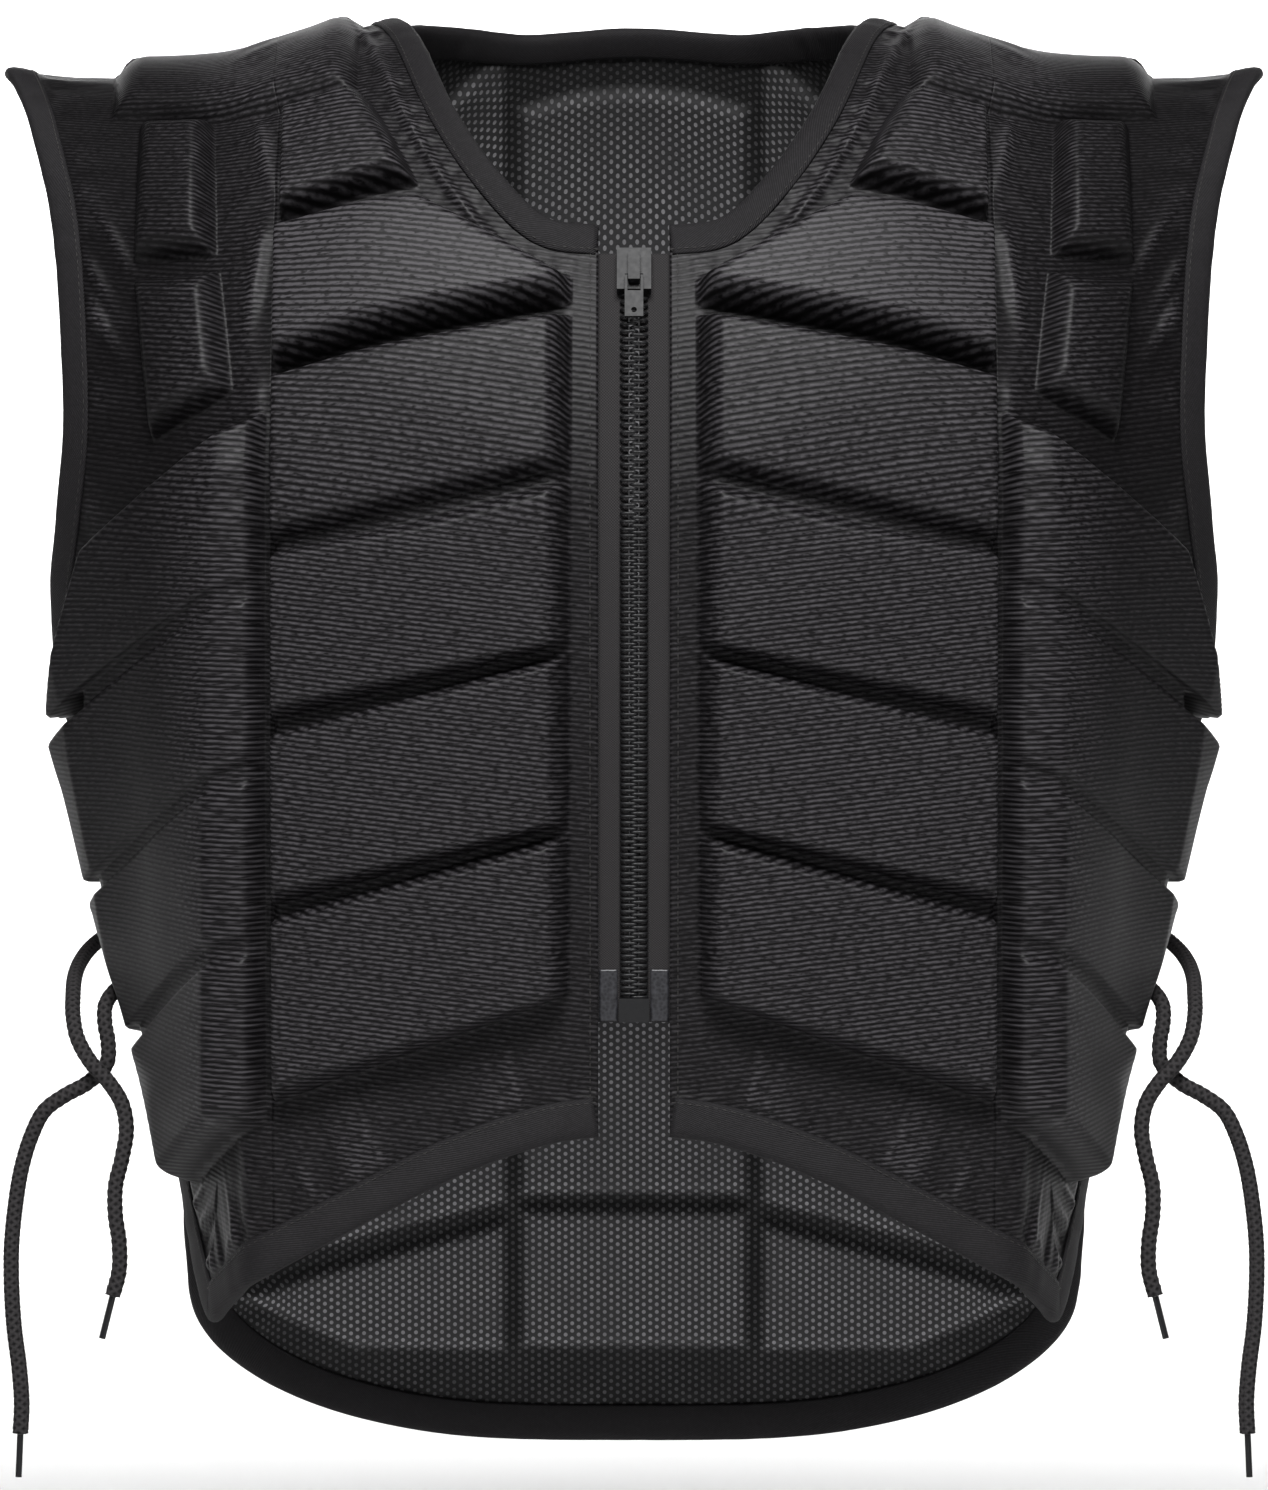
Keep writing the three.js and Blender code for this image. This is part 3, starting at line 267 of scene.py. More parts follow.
class Maker:
    """Builds a procedural material: each call adds a node and gives back its output."""

    def __init__(self, name, roughness, specular=0.3):
        self.material = bpy.data.materials.new(name)
        self.material.use_nodes = True
        self.tree = self.material.node_tree
        self.shader = self.tree.nodes["Principled BSDF"]
        self.shader.inputs["Roughness"].default_value = roughness
        self.shader.inputs["Specular IOR Level"].default_value = specular

    def node(self, kind, output, inputs, **settings):
        node = self.tree.nodes.new(kind)
        for key, value in settings.items():
            setattr(node, key, value)
        for key, value in inputs.items():
            if isinstance(value, bpy.types.NodeSocket):
                self.tree.links.new(value, node.inputs[key])
            else:
                node.inputs[key].default_value = value
        return node.outputs[output]

    def sum(self, operation, a, b=0.0, c=0.0):
        return self.node("ShaderNodeMath", 0, {0: a, 1: b, 2: c}, operation=operation)

    def cloth(self):
        """The cloth's own coordinates, in metres along and across it."""
        flat = self.node("ShaderNodeUVMap", "UV", {}, uv_map="cloth")
        split = self.tree.nodes.new("ShaderNodeSeparateXYZ")
        self.tree.links.new(flat, split.inputs[0])
        return flat, split.outputs["X"], split.outputs["Y"]

    def tone(self):
        """The painted light and shade stored on the points, which scales the colour: painted shade in the
        channels, painted highlights over the blocks and folds.
        """
        return self.node("ShaderNodeAttribute", "Fac", {}, attribute_name="tone")

    def place(self):
        return self.node("ShaderNodeTexCoord", "Object", {})

    def noise(self, where, size, detail=2.0):
        inputs = {"Vector": where, "Scale": 1 / size, "Detail": detail}
        return self.node("ShaderNodeTexNoise", "Fac", inputs)

    def wave(self, value, pitch):
        """A sine from -1 to 1 along a value."""
        return self.sum("SINE", self.sum("MULTIPLY", value, 2 * math.pi / pitch))

    def colour(self, factor, low, high):
        mix = self.tree.nodes.new("ShaderNodeMix")
        mix.data_type = "RGBA"
        mix.inputs[6].default_value = linear(low)
        mix.inputs[7].default_value = linear(high)
        self.tree.links.new(factor, mix.inputs[0])
        self.tree.links.new(mix.outputs[2], self.shader.inputs["Base Color"])

    def bump(self, height, distance, strength=1.0):
        out = self.node(
            "ShaderNodeBump", "Normal", {"Height": height, "Distance": distance, "Strength": strength}
        )
        self.tree.links.new(out, self.shader.inputs["Normal"])

    def rough(self, factor, low, high):
        out = self.sum("MULTIPLY_ADD", factor, high - low, low)
        self.tree.links.new(out, self.shader.inputs["Roughness"])


BRAID_PITCH = 3.2 * MM


def braided_polyester():
    """Lace yarn: the strands themselves are modelled, and their fine filaments are drawn."""
    make = Maker("braided_polyester", 0.8, 0.2)
    fine = make.noise(make.place(), 0.4 * MM)
    flat, round_way, run = make.cloth()
    one = make.sum("MULTIPLY", round_way, 4 / (LACE / 2))
    other = make.sum("MULTIPLY", run, 2 * math.pi / BRAID_PITCH)
    going = make.sum("COSINE", make.sum("ADD", one, other))
    coming = make.sum("COSINE", make.sum("SUBTRACT", one, other))
    strands = make.sum("MAXIMUM", going, coming)
    # Painted highlight: the strands' crests are painted lighter, times the fine filaments' noise.
    lit = make.sum("MULTIPLY", make.sum("MULTIPLY_ADD", strands, 0.5, 0.5), make.sum("ADD", fine, 0.3))
    make.colour(lit, "0a090a", "3a3839")
    make.bump(fine, 0.1 * MM)
    return make.material


BRAID_RISE = 0.5 * MM


def braid(run, turn):
    strands = 8
    one = np.cos(turn * strands / 2 + run * 2 * math.pi / BRAID_PITCH)
    other = np.cos(turn * strands / 2 - run * 2 * math.pi / BRAID_PITCH)
    return BRAID_RISE * (np.maximum(one, other) - 1)


lace_cloth = braided_polyester()
mirror = np.array([-1, 1, 1])
for side, flip in (("left", np.ones(3)), ("right", mirror)):
    for kind, route in (("long", LONG_ROUTE), ("short", SHORT_ROUTE)):
        path = smooth_route(route, 0.8) * MM * flip
        name = f"lace_{kind}_{side}"
        lace = tube(f"braided_{name}", path, LACE / 2, 24, lace_cloth, braid)
        carried(lace, "lace_cord", name)

# The cover: ribbed stretch fabric, cut in panels and drawn over foam blocks, and sewn down in the
# channels between them. Each panel is drawn flat and wrapped round the torso, as it is worn.
LENGTH = 554.0
QUARTER = 290.0
FRONT_DEPTH = 128.0
BACK_DEPTH = 106.0
CREASE = 138.0
CREASE_RUN = 14.0
CENTRE_TURN = 12.0
SHOULDER_HALF = 248.0
NECK_HALF = 95.0
NECK_RISE = 24.0
NAPE_RISE = 51.0
SHOULDER_START = 180.0
RIDGE_RUN = 250.0
RIDGE = RIDGE_RUN - SHOULDER_START
NAPE_HALF = NECK_HALF - 2
SHELL = 3.0
PAD = 18.0
THIN_PAD = 12.0
SHOULDER_PAD = 9.0
COLLAR_PAD = 15.0
ZIP_HALF = 13.5
PAD_MARGIN = 11.0

FRONT_SECTIONS = {
    "up": (-1.011, -0.875, -0.776, -0.614, -0.451, -0.325, -0.249, -0.108, 0.126),
    "depth": (0.875, 0.89, 0.92, 0.953, 0.99, 1.0, 0.985, 0.97, 0.953),
    "lean_in": (64, 64, 64, 60, 49, 37, 31, 28, 22),
    "lean_out": (80, 80, 80, 76, 64, 50, 39, 34, 28),
}
BACK_SECTIONS = {
    "up": (-1.011, -0.776, -0.614, -0.451, -0.325, -0.249, -0.108, 0.126),
    "depth": (0.93, 0.84, 0.8, 0.94, 1.0, 1.0, 1.02, 1.0),
    "lean_in": (30, 44, 42, 38, 32, 24, 24, 22),
    "lean_out": (42, 60, 58, 54, 44, 31, 30, 28),
}
RIDGE_LINE = {"out": (0, 0.38, 0.52, 0.665, 0.895, 1), "rise": (1, 1, 0.54, 0.12, 0.08, 0.2)}


def along(table, key, column, place):
    """One column of a table at places along its key, on a smooth curve through the rows."""
    keys = np.array(table[key], float)
    values = np.array(table[column], float)
    last = len(keys) - 1
    i = np.clip(np.searchsorted(keys, place, side="left") - 1, 0, last - 1)
    before, after = np.maximum(i - 1, 0), np.minimum(i + 2, last)
    span = keys[i + 1] - keys[i]
    slope_a = (values[i + 1] - values[before]) / (keys[i + 1] - keys[before])
    slope_b = (values[after] - values[i]) / (keys[after] - keys[i])
    f = np.clip((place - keys[i]) / span, 0, 1)
    f2, f3 = f * f, f * f * f
    return (
        (2 * f3 - 3 * f2 + 1) * values[i]
        + (f3 - 2 * f2 + f) * span * slope_a
        + (3 * f2 - 2 * f3) * values[i + 1]
        + (f3 - f2) * span * slope_b
    )


def torso(across, up, on_back):
    """Points of the torso's surface, in millimetres, for flat points on the front or the back."""
    past = up > RIDGE
    level = np.where(past, 2 * RIDGE - up, up)
    share = level / LENGTH
    back = past != on_back

    def either(column):
        return np.where(
            back, along(BACK_SECTIONS, "up", column, share), along(FRONT_SECTIONS, "up", column, share)
        )

    lean_in, lean_out = np.radians(either("lean_in")), np.radians(either("lean_out"))
    centre_turn = math.radians(CENTRE_TURN)
    left = np.abs(across)
    x, inward = np.zeros_like(left), np.zeros_like(left)
    side_run = QUARTER - CREASE - CREASE_RUN
    runs = ((CREASE, 0.0, centre_turn), (CREASE_RUN, centre_turn, lean_in), (side_run, lean_in, lean_out))
    for n, (run, start, end) in enumerate(runs):
        go = np.minimum(left, run) if n < 2 else left
        bend = (end - start) / run
        turned = start + bend * go
        x = x + (np.sin(turned) - np.sin(start)) / bend
        inward = inward + (np.cos(start) - np.cos(turned)) / bend
        left = left - go
    depth = np.where(back, BACK_DEPTH, FRONT_DEPTH) * either("depth")
    turn = np.maximum(0, (level + SHOULDER_START) / RIDGE_RUN) * math.pi / 2
    nape = np.where(back & (x < NAPE_HALF), NAPE_RISE * (1 - (x / NAPE_HALF) ** 2), 0)
    ridge = NECK_RISE * along(RIDGE_LINE, "out", "rise", x / SHOULDER_HALF) + nape
    z = np.where(turn > 0, (ridge + SHOULDER_START) * np.sin(turn) - SHOULDER_START, level)
    y = (depth - inward) * np.cos(turn)
    return np.stack([np.where(across < 0, -x, x), np.where(back, y, -y), z], axis=-1)


def wrap(across, up, height, on_back=False):
    """The same points moved out from the body by a height, in metres."""
    across, up, height = np.broadcast_arrays(*(np.asarray(v, float) for v in (across, up, height)))
    right = torso(across + 0.5, up, on_back) - torso(across - 0.5, up, on_back)
    rise = torso(across, up + 0.5, on_back) - torso(across, up - 0.5, on_back)
    out = np.cross(right, rise)
    out /= np.linalg.norm(out, axis=-1)[..., None]
    if on_back:
        out = -out
    return (torso(across, up, on_back) + out * height[..., None]) * MM


def shares(rows):
    return [(a * QUARTER, u * LENGTH) for a, u in rows]


def edge(points):
    """A smooth edge through flat points, as a function of 0 to 1 by length."""
    line = smooth_route([(x, y, 0) for x, y in points], 1.0)[:, :2]
    f = np.linspace(0, 1, len(line))
    return lambda g: np.stack([np.interp(g, f, line[:, 0]), np.interp(g, f, line[:, 1])], axis=-1)


ARM_SHARE = 0.903
RIDGE_SHARE = RIDGE / LENGTH
NECK_END = (NECK_HALF / QUARTER, RIDGE_SHARE)
ARM_END = (ARM_SHARE, RIDGE_SHARE)
ZIP_SHARE = ZIP_HALF / QUARTER
ZIP_TOP = (ZIP_SHARE, -0.155)
ZIP_BOTTOM = (ZIP_SHARE, -0.738)
SIDE_TOP = (1, -0.44)
BACK_SIDE_TOP = (0.805, -0.44)
FRONT_NECK = [(0.115, -0.15), (0.18, -0.118), (0.243, -0.062), (0.293, 0.03)]
FRONT_ARM = [
    SIDE_TOP,
    (0.92, -0.366),
    (0.855, -0.31),
    (0.815, -0.26),
    (0.812, -0.195),
    (0.828, -0.11),
    (0.86, -0.023),
]
FRONT_SIDE = [(0.672, -0.868), (0.79, -0.79), (0.9, -0.69), (0.962, -0.6), SIDE_TOP]
FRONT_HEM = [
    (0.11, -0.743),
    (0.224, -0.764),
    (0.38, -0.806),
    (0.52, -0.846),
    (0.6, -0.866),
    (0.645, -0.876),
    (0.672, -0.868),
]
BACK_NECK = [(0, -0.046), (0.15, -0.035), (0.25, 0.012), (0.305, 0.07)]
BACK_ARM = [
    BACK_SIDE_TOP,
    (0.775, -0.366),
    (0.765, -0.3),
    (0.77, -0.23),
    (0.785, -0.15),
    (0.82, -0.06),
    (0.86, 0.03),
]
BACK_SIDE = [(0.68, -0.795), (0.7, -0.7), (0.74, -0.59), BACK_SIDE_TOP]
TAIL = [(0, -0.995), (0.3, -0.987), (0.5, -0.955), (0.64, -0.9), (0.67, -0.845), (0.68, -0.795)]

neck_edge = edge(shares([ZIP_TOP, *FRONT_NECK, NECK_END]))
zip_edge = edge(shares([ZIP_BOTTOM, ZIP_TOP]))
side_edge = edge(shares(FRONT_SIDE))
arm_edge = edge(shares([*FRONT_ARM, ARM_END]))
hem_edge = edge(shares([ZIP_BOTTOM, *FRONT_HEM]))


def mirrored(rows):
    return [(-a, u) for a, u in reversed(rows)]


back_neck = edge(shares([*mirrored([*BACK_NECK, NECK_END]), *BACK_NECK[1:], NECK_END]))
tail_edge = edge(shares([*mirrored(TAIL), *TAIL[1:]]))
back_side = edge(shares(BACK_SIDE))
back_arm = edge(shares([*BACK_ARM, ARM_END]))


def straight(a, b):
    a, b = np.array(a, float), np.array(b, float)
    return lambda f: a + (b - a) * np.asarray(f)[..., None]


def portion(line, start, end):
    return lambda f: line(start + (end - start) * np.asarray(f))


def chain(first, second, split):
    def both(f):
        f = np.asarray(f, float)
        later = second(np.maximum(0, (f - split) / (1 - split)))
        return np.where((f < split)[..., None], first(np.minimum(f / split, 1)), later)

    return both


def share_at(line, across):
    f = np.linspace(0, 1, 2001)
    return float(np.interp(across, line(f)[:, 0], f))


def patch(bottom, top, inner, outer, u, v, near=1):
    """Flat points between four edges, on a grid of u by v; near keeps the bottom's bends near it."""
    u, v = u[:, None], v[None, :]
    rise = (1 - (1 - v) ** near)[..., None]
    corner = [bottom(0.0), bottom(1.0), top(0.0), top(1.0)]
    low = corner[0] * (1 - u)[..., None] + corner[1] * u[..., None]
    high = corner[2] * (1 - u)[..., None] + corner[3] * u[..., None]
    rows = inner(v) * (1 - u)[..., None] + outer(v) * u[..., None]
    return rows + (bottom(u) - low) * (1 - rise) + (top(u) - high) * rise


def level_with(line, ends, levels, foot, head):
    """A straight edge with points on the same rows as another edge's, which slant with the grooves."""
    foot, head = np.array(foot, float), np.array(head, float)

    def matched(f):
        level = np.interp(line(f)[..., 1], ends, levels)
        return foot + (head - foot) * ((level - foot[1]) / (head[1] - foot[1]))[..., None]

    return matched


def grid_faces(columns, rows):
    i, j = np.meshgrid(np.arange(columns - 1), np.arange(rows - 1), indexing="ij")
    a = (i * rows + j).ravel()
    return np.stack([a, a + rows, a + rows + 1, a + 1], axis=1)


def quad_distance(corners, flat, soft=(1, 1, 1, 1)):
    """How far inside a four-sided block a flat point lies; a soft side counts as nearer."""
    inside = []
    for n in range(4):
        a, b = np.array(corners[n], float), np.array(corners[(n + 1) % 4], float)
        way = (b - a) / np.linalg.norm(b - a)
        inside.append((flat - a) @ np.array([-way[1], way[0]]) / soft[n])
    inside = np.stack(inside)
    blend = np.power(np.sum(np.power(np.maximum(inside, 1e-3), -6.0), axis=0), -1 / 6)
    return np.where(inside.min(axis=0) > 0, blend, inside.min(axis=0))


BLOCK_RAMP = 3.6
CROWN_SHARE = 0.07
CROWN_REACH = 24.0


def block_height(distance, thick):
    """The cover's height over a block: a steep side, a rounded edge and a slight crown."""
    f = np.clip(distance / BLOCK_RAMP, 0, 1)
    crown = 1 - np.exp(-np.maximum(distance, 0) / CROWN_REACH)
    return thick * ((1 - CROWN_SHARE) * (1 - (1 - f) ** 2.2) + CROWN_SHARE * crown)


def across_at(line, up):
    points = line(np.linspace(0, 1, 2001))
    return float(np.interp(up, points[:, 1], points[:, 0]))


def over_ridge(rows):
    return [(a, 2 * RIDGE - u) for a, u in rows]


neck_rows = [*shares([ZIP_TOP, *FRONT_NECK, NECK_END]), *over_ridge(shares(BACK_NECK))[::-1]]
neck_line = edge(neck_rows + [(-a, u) for a, u in neck_rows[-2::-1]])
nape_edge = edge(shares(BACK_NECK))
arm_line = edge([*shares([*FRONT_ARM, ARM_END]), *over_ridge(shares(BACK_ARM))[::-1]])
hem_line = edge([*shares([ZIP_BOTTOM, *FRONT_HEM]), *shares(FRONT_SIDE)[1:]])
tail_rows = [*shares(TAIL), *shares(BACK_SIDE)[1:]]
tail_line = edge([(-a, u) for a, u in tail_rows[:0:-1]] + tail_rows)


# Grooves between the blocks: share of LENGTH at the inner and outer side, width in millimetres.
CHEST_GROOVES = [
    (-0.2075, -0.2365, 4.0),
    (-0.298, -0.339, 4.0),
    (-0.408, -0.462, 3.5),
    (-0.529, -0.588, 3.5),
    (-0.646, -0.722, 4.0),
]
SIDE_GROOVES = [
    (-0.256, -0.322, 3.5),
    (-0.366, -0.452, 3.0),
    (-0.49, -0.57, 3.0),
    (-0.609, -0.681, 3.0),
    (-0.736, -0.785, 3.5),
]
SPINE_GROOVES = [(up, up, 5.0) for up in (-0.08, -0.32, -0.55, -0.815, -0.93)]
FLANK_GROOVES = [(-0.03, -0.1, 5.0), (-0.32, -0.38, 5.0), (-0.55, -0.63, 5.0), (-0.82, -0.87, 5.0)]
FLANK_REACH = [0.7, 0.69, 0.61, 0.585]
LOW_FLANK = [(0.183, -0.928), (0.4, -0.925), (0.585, -0.882), (0.183, -0.829)]
CHEST_TOP = [(0.12, -0.18), (0.2, -0.166), (0.285, -0.137), (0.466, -0.147)]
COLLARBONE = [(0.285, -0.1265), (0.466, -0.1365), (0.466, -0.052), (0.352, -0.052)]
SHOULDER = [(0.37, -0.042), (0.735, -0.008), (0.735, 0.245), (0.37, 0.245)]
ARM_PADS = [
    [(0.56, -0.15), (0.69, -0.15), (0.69, -0.02), (0.575, -0.026)],
    [(0.53, -0.244), (0.66, -0.27), (0.69, -0.162), (0.555, -0.162)],
]
CHEST_INNER = ZIP_HALF + PAD_MARGIN
CHEST_OUTER = CREASE - 1.5
SIDE_INNER = CREASE + 2.5
SIDE_MARGIN = 28.0
SIDE_TOP_OUTER = 0.76
SPINE_HALF = 50.0
FLANK_SPLIT = 104.0


def column(grooves, inner, outer):
    """The corners of a column's blocks, each between two grooves."""
    blocks = []
    for n, (high, low) in enumerate(zip(grooves, grooves[1:])):
        up, down = high[2] / 2, low[2] / 2
        blocks.append(
            [
                (inner(n + 1), low[0] * LENGTH + down),
                (outer(n + 1), low[1] * LENGTH + down),
                (outer(n), high[1] * LENGTH - up),
                (inner(n), high[0] * LENGTH - up),
            ]
        )
    return blocks


def side_outer(n):
    if n == 0:
        return SIDE_TOP_OUTER * QUARTER
    return across_at(side_edge, SIDE_GROOVES[n][1] * LENGTH) - SIDE_MARGIN


def flank_outer(n):
    return FLANK_REACH[n] * QUARTER


chest_blocks = column(CHEST_GROOVES, lambda n: CHEST_INNER, lambda n: CHEST_OUTER)
side_blocks = column(SIDE_GROOVES, lambda n: SIDE_INNER, side_outer)
spine_blocks = column(SPINE_GROOVES, lambda n: 2.5 - SPINE_HALF, lambda n: SPINE_HALF - 2.5)
flank_blocks = column(FLANK_GROOVES, lambda n: SPINE_HALF + 2.5, flank_outer)
neckline = shares(CHEST_TOP)
top_groove = CHEST_GROOVES[0]
chest_top_block = [
    (CHEST_INNER, top_groove[0] * LENGTH + top_groove[2] / 2),
    (CHEST_OUTER, top_groove[1] * LENGTH + top_groove[2] / 2),
    (CHEST_OUTER, neckline[3][1]),
    (CHEST_INNER, neckline[2][1]),
]


def top_block_distance(flat):
    """The top chest block has a fifth side, which follows the neckline."""
    square = quad_distance(chest_top_block, flat, (1.7, 1, 0.9, 2.2))
    a, b = np.array(neckline[0]), np.array(neckline[2])
    way = (b - a) / np.linalg.norm(b - a)
    return np.minimum(square, (flat - a) @ np.array([way[1], -way[0]]) / 1.4)


# Folds: across and up, turn in degrees from level, then length, width and height in millimetres.
FRONT_FOLDS = [
    (222, -84, 52, 18, 3, 1.7),
    (228, -96, 50, 20, 3.4, 1.9),
    (215, -106, 55, 16, 2.6, 1.4),
    (236, -112, 48, 15, 3, 1.3),
    (209, -74, 60, 14, 2.6, 1.2),
    (60, -425, 118, 14, 3, 1.6),
    (47, -419, 105, 16, 2.6, 1.3),
    (35, -410, 95, 12, 2.4, 1.1),
    (90, -438, 125, 15, 3.4, 1.6),
    (110, -452, 128, 14, 3, 1.4),
    (76, -431, 110, 10, 2.6, 1.1),
    (128, -458, 130, 12, 3, 1.2),
    (170, -468, 118, 15, 3, 1.3),
    (186, -474, 112, 12, 3.2, 1.2),
    (205, -470, 100, 12, 3, 1.1),
    (62, -52, -50, 12, 2.4, 1.2),
    (74, -34, -42, 14, 2.4, 1.3),
    (50, -70, -58, 10, 2.4, 1.1),
    (143, -40, 80, 16, 3, 2.2),
    (145, -96, 98, 18, 3, 2.4),
    (142, -150, 85, 14, 2.6, 2),
]


def folds(table, flat):
    tall = np.zeros(flat.shape[:-1])
    for across, up, turn, long, wide, high in table:
        off = flat - (across, up)
        way = np.array([math.cos(math.radians(turn)), math.sin(math.radians(turn))])
        run = off @ way
        aside = off @ np.array([-way[1], way[0]])
        tall = tall + high * np.exp(-((run / long) ** 2)) * np.exp(-((aside / wide) ** 2))
    return tall


def uneven(run, pitch, seed):
    """A smooth random wave of -1 to 1 along a length."""
    marks = np.random.default_rng(seed).uniform(-1, 1, 512)
    place = np.asarray(run) / pitch + 64
    i = np.floor(place).astype(int) % 511
    f = place - np.floor(place)
    f = f * f * (3 - 2 * f)
    return marks[i] * (1 - f) + marks[i + 1] * f


def edge_distance(line, flat):
    """Distance to an edge and the length along it, for flat points."""
    points = line(np.linspace(0, 1, 500))
    run = run_along(points)
    every = flat.reshape(-1, 2)
    near, along_it = np.empty(len(every)), np.empty(len(every))
    for n in range(0, len(every), 4000):
        gaps = np.linalg.norm(every[n : n + 4000, None] - points[None], axis=-1)
        pick = gaps.argmin(axis=1)
        near[n : n + 4000] = gaps[np.arange(len(pick)), pick]
        along_it[n : n + 4000] = run[pick]
    return near.reshape(flat.shape[:-1]), along_it.reshape(flat.shape[:-1])


def gathers(near, run, width, pitch, tall, seed):
    """Small gathers where the cover is eased into a binding; they fade away from it."""
    past = np.maximum(near - width, 0)
    wave = uneven(run + 0.35 * past, pitch, seed) + 0.5 * uneven(run, pitch * 0.45, seed + 1)
    return tall * wave * np.exp(-past / 16.0) * np.clip((past + 0.6) / 5.0, 0, 1)


CREASE_END = CREASE + CREASE_RUN
SIDE_FULLNESS = 0.4
BRIDGED_CHEST = 0.36
BRIDGED_SIDE = 0.8
NECK_WIDTH = 10.0
ARM_WIDTH = 12.0
HEM_WIDTH = 14.0


def raised_by(tall, corners, flat, soft, thick):
    """The greater of a height so far and the height over one block."""
    return np.maximum(tall, block_height(quad_distance(corners, flat, soft), thick))


def webbed(tall, blocks, flat, share, soft):
    """The cover bridges a column's grooves, so it sinks only part of the way between two blocks."""
    for high, low in zip(blocks, blocks[1:]):
        pair = [low[0], low[1], high[2], high[3]]
        tall = np.maximum(tall, share * block_height(quad_distance(pair, flat, soft), PAD))
    return tall


# How soft the lower, outer, upper and inner side of a block is. A side of 1 is steep.
SOFT = {
    "chest_web": (1, 1, 1, 2.4),
    "collarbone": (1.5, 1, 0.9, 2.2),
    "side": (1, 0.9, 1, 0.7),
    "lowest_side": (2.6, 0.9, 1, 0.7),
    "arm": (2.6, 3, 3, 2),
    "shoulder": (4, 4, 1, 3),
    "back": (1.8, 1, 1.8, 1),
    "strap": (1, 2.4, 1, 2),
}
# Gathers beside each binding: the binding's width, pitch and height in millimetres, and the seed.
FRONT_GATHERS = {
    "hem": (HEM_WIDTH, 8.0, 2.6, 21),
    "arm": (ARM_WIDTH, 12.0, 1.0, 23),
    "neck": (NECK_WIDTH, 7.0, 1.0, 22),
}
WAIST = -275.0
WAIST_REACH = 100.0
SIDE_BEVEL = 10.0


def height_over_front_blocks(flat):
    """The cover's height over the front's blocks, with the grooves bridged part of the way."""
    across, up = flat[..., 0], flat[..., 1]
    reach = np.clip((across - CHEST_INNER) / (CHEST_OUTER - CHEST_INNER), 0, 1)
    tall = block_height(top_block_distance(flat), PAD)
    for corners in chest_blocks:
        tall = raised_by(tall, corners, flat, (0.9 + 1.5 * reach, 1, 0.8, 2.4), PAD)
    tall = raised_by(tall, shares(COLLARBONE), flat, SOFT["collarbone"], COLLAR_PAD)
    tall = webbed(tall, chest_blocks, flat, BRIDGED_CHEST, SOFT["chest_web"])
    side_tall = raised_by(np.zeros_like(tall), side_blocks[-1], flat, SOFT["lowest_side"], PAD)
    for corners in side_blocks[:-1]:
        side_tall = raised_by(side_tall, corners, flat, SOFT["side"], PAD)
    side_tall = webbed(side_tall, side_blocks, flat, BRIDGED_SIDE, SOFT["lowest_side"])
    bevel = 0.6 + 0.4 * np.clip((across - SIDE_INNER) / SIDE_BEVEL, 0, 1)
    tall = np.maximum(tall, bevel * side_tall)
    for corners in ARM_PADS:
        tall = raised_by(tall, shares(corners), flat, SOFT["arm"], THIN_PAD)
    tall = raised_by(tall, shares(SHOULDER), flat, SOFT["shoulder"], SHOULDER_PAD)
    waist = np.exp(-(((up - WAIST) / WAIST_REACH) ** 4))
    return tall * (1 + SIDE_FULLNESS * waist * np.clip((across - 195) / 45, 0, 1) ** 2)


def front_height(flat):
    """The front cover's heights, with its folds, gathers and puckers, and its painted light and shade."""
    across, up = flat[..., 0], flat[..., 1]
    tall = height_over_front_blocks(flat)
    free, eased, near = 1.0, 0.0, {}
    for name, line, reach in (("hem", hem_line, 5), ("arm", arm_edge, 5), ("neck", neck_edge, 4)):
        near[name], run = edge_distance(line, flat)
        eased = eased + gathers(near[name], run, *FRONT_GATHERS[name])
        free = free * np.clip((near[name] - FRONT_GATHERS[name][0]) / reach, 0, 1)
    piping = 1.5 * np.exp(-(((near["neck"] - NECK_WIDTH - 8) / 1.9) ** 2)) * (up > neckline[1][1])
    loose = (folds(FRONT_FOLDS, flat) * free + eased + piping) * np.exp(-tall / 4.0)
    crease = np.exp(-(((across - CREASE - 8) / 9) ** 2))
    puffs = 0.7 * crease * uneven(up + 0.4 * across, 8.0, 11)
    sag = 0.3 * (uneven(across + 0.7 * up, 31.0, 12) + uneven(up - 0.6 * across, 27.0, 13))
    drawn = np.clip(tall / THIN_PAD, 0, 1)
    height = SHELL + tall + puffs * free + sag * drawn + np.maximum(loose, -1.2)
    # Painted shade: darker where the cloth is not drawn over a block, in the channels, and darker on the
    # sides turned away from the front light.
    turned_away = np.clip((across - CREASE_END) / 30, 0, 1)
    tone = (0.45 + 0.55 * drawn) * (1 - 0.65 * turned_away)
    # Painted highlight on the top chest block, and on the folds and gathers in the value returned below.
    tone = tone * (1 + 0.8 * np.clip(top_block_distance(flat) / 4, 0, 1))
    return height, tone + 0.45 * np.clip(loose, 0, 2.4)


def both_sides(flat):
    """Flat points with the right side folded over the left one."""
    return np.stack([np.abs(flat[..., 0]), flat[..., 1]], axis=-1)


def nape_share(folded):
    """From 0 at the binding of the back's neck to 1 where the blocks are as thick as they get."""
    near = edge_distance(nape_edge, folded)[0]
    return np.clip((near - NECK_WIDTH) / 12, 0, 1) ** 0.6


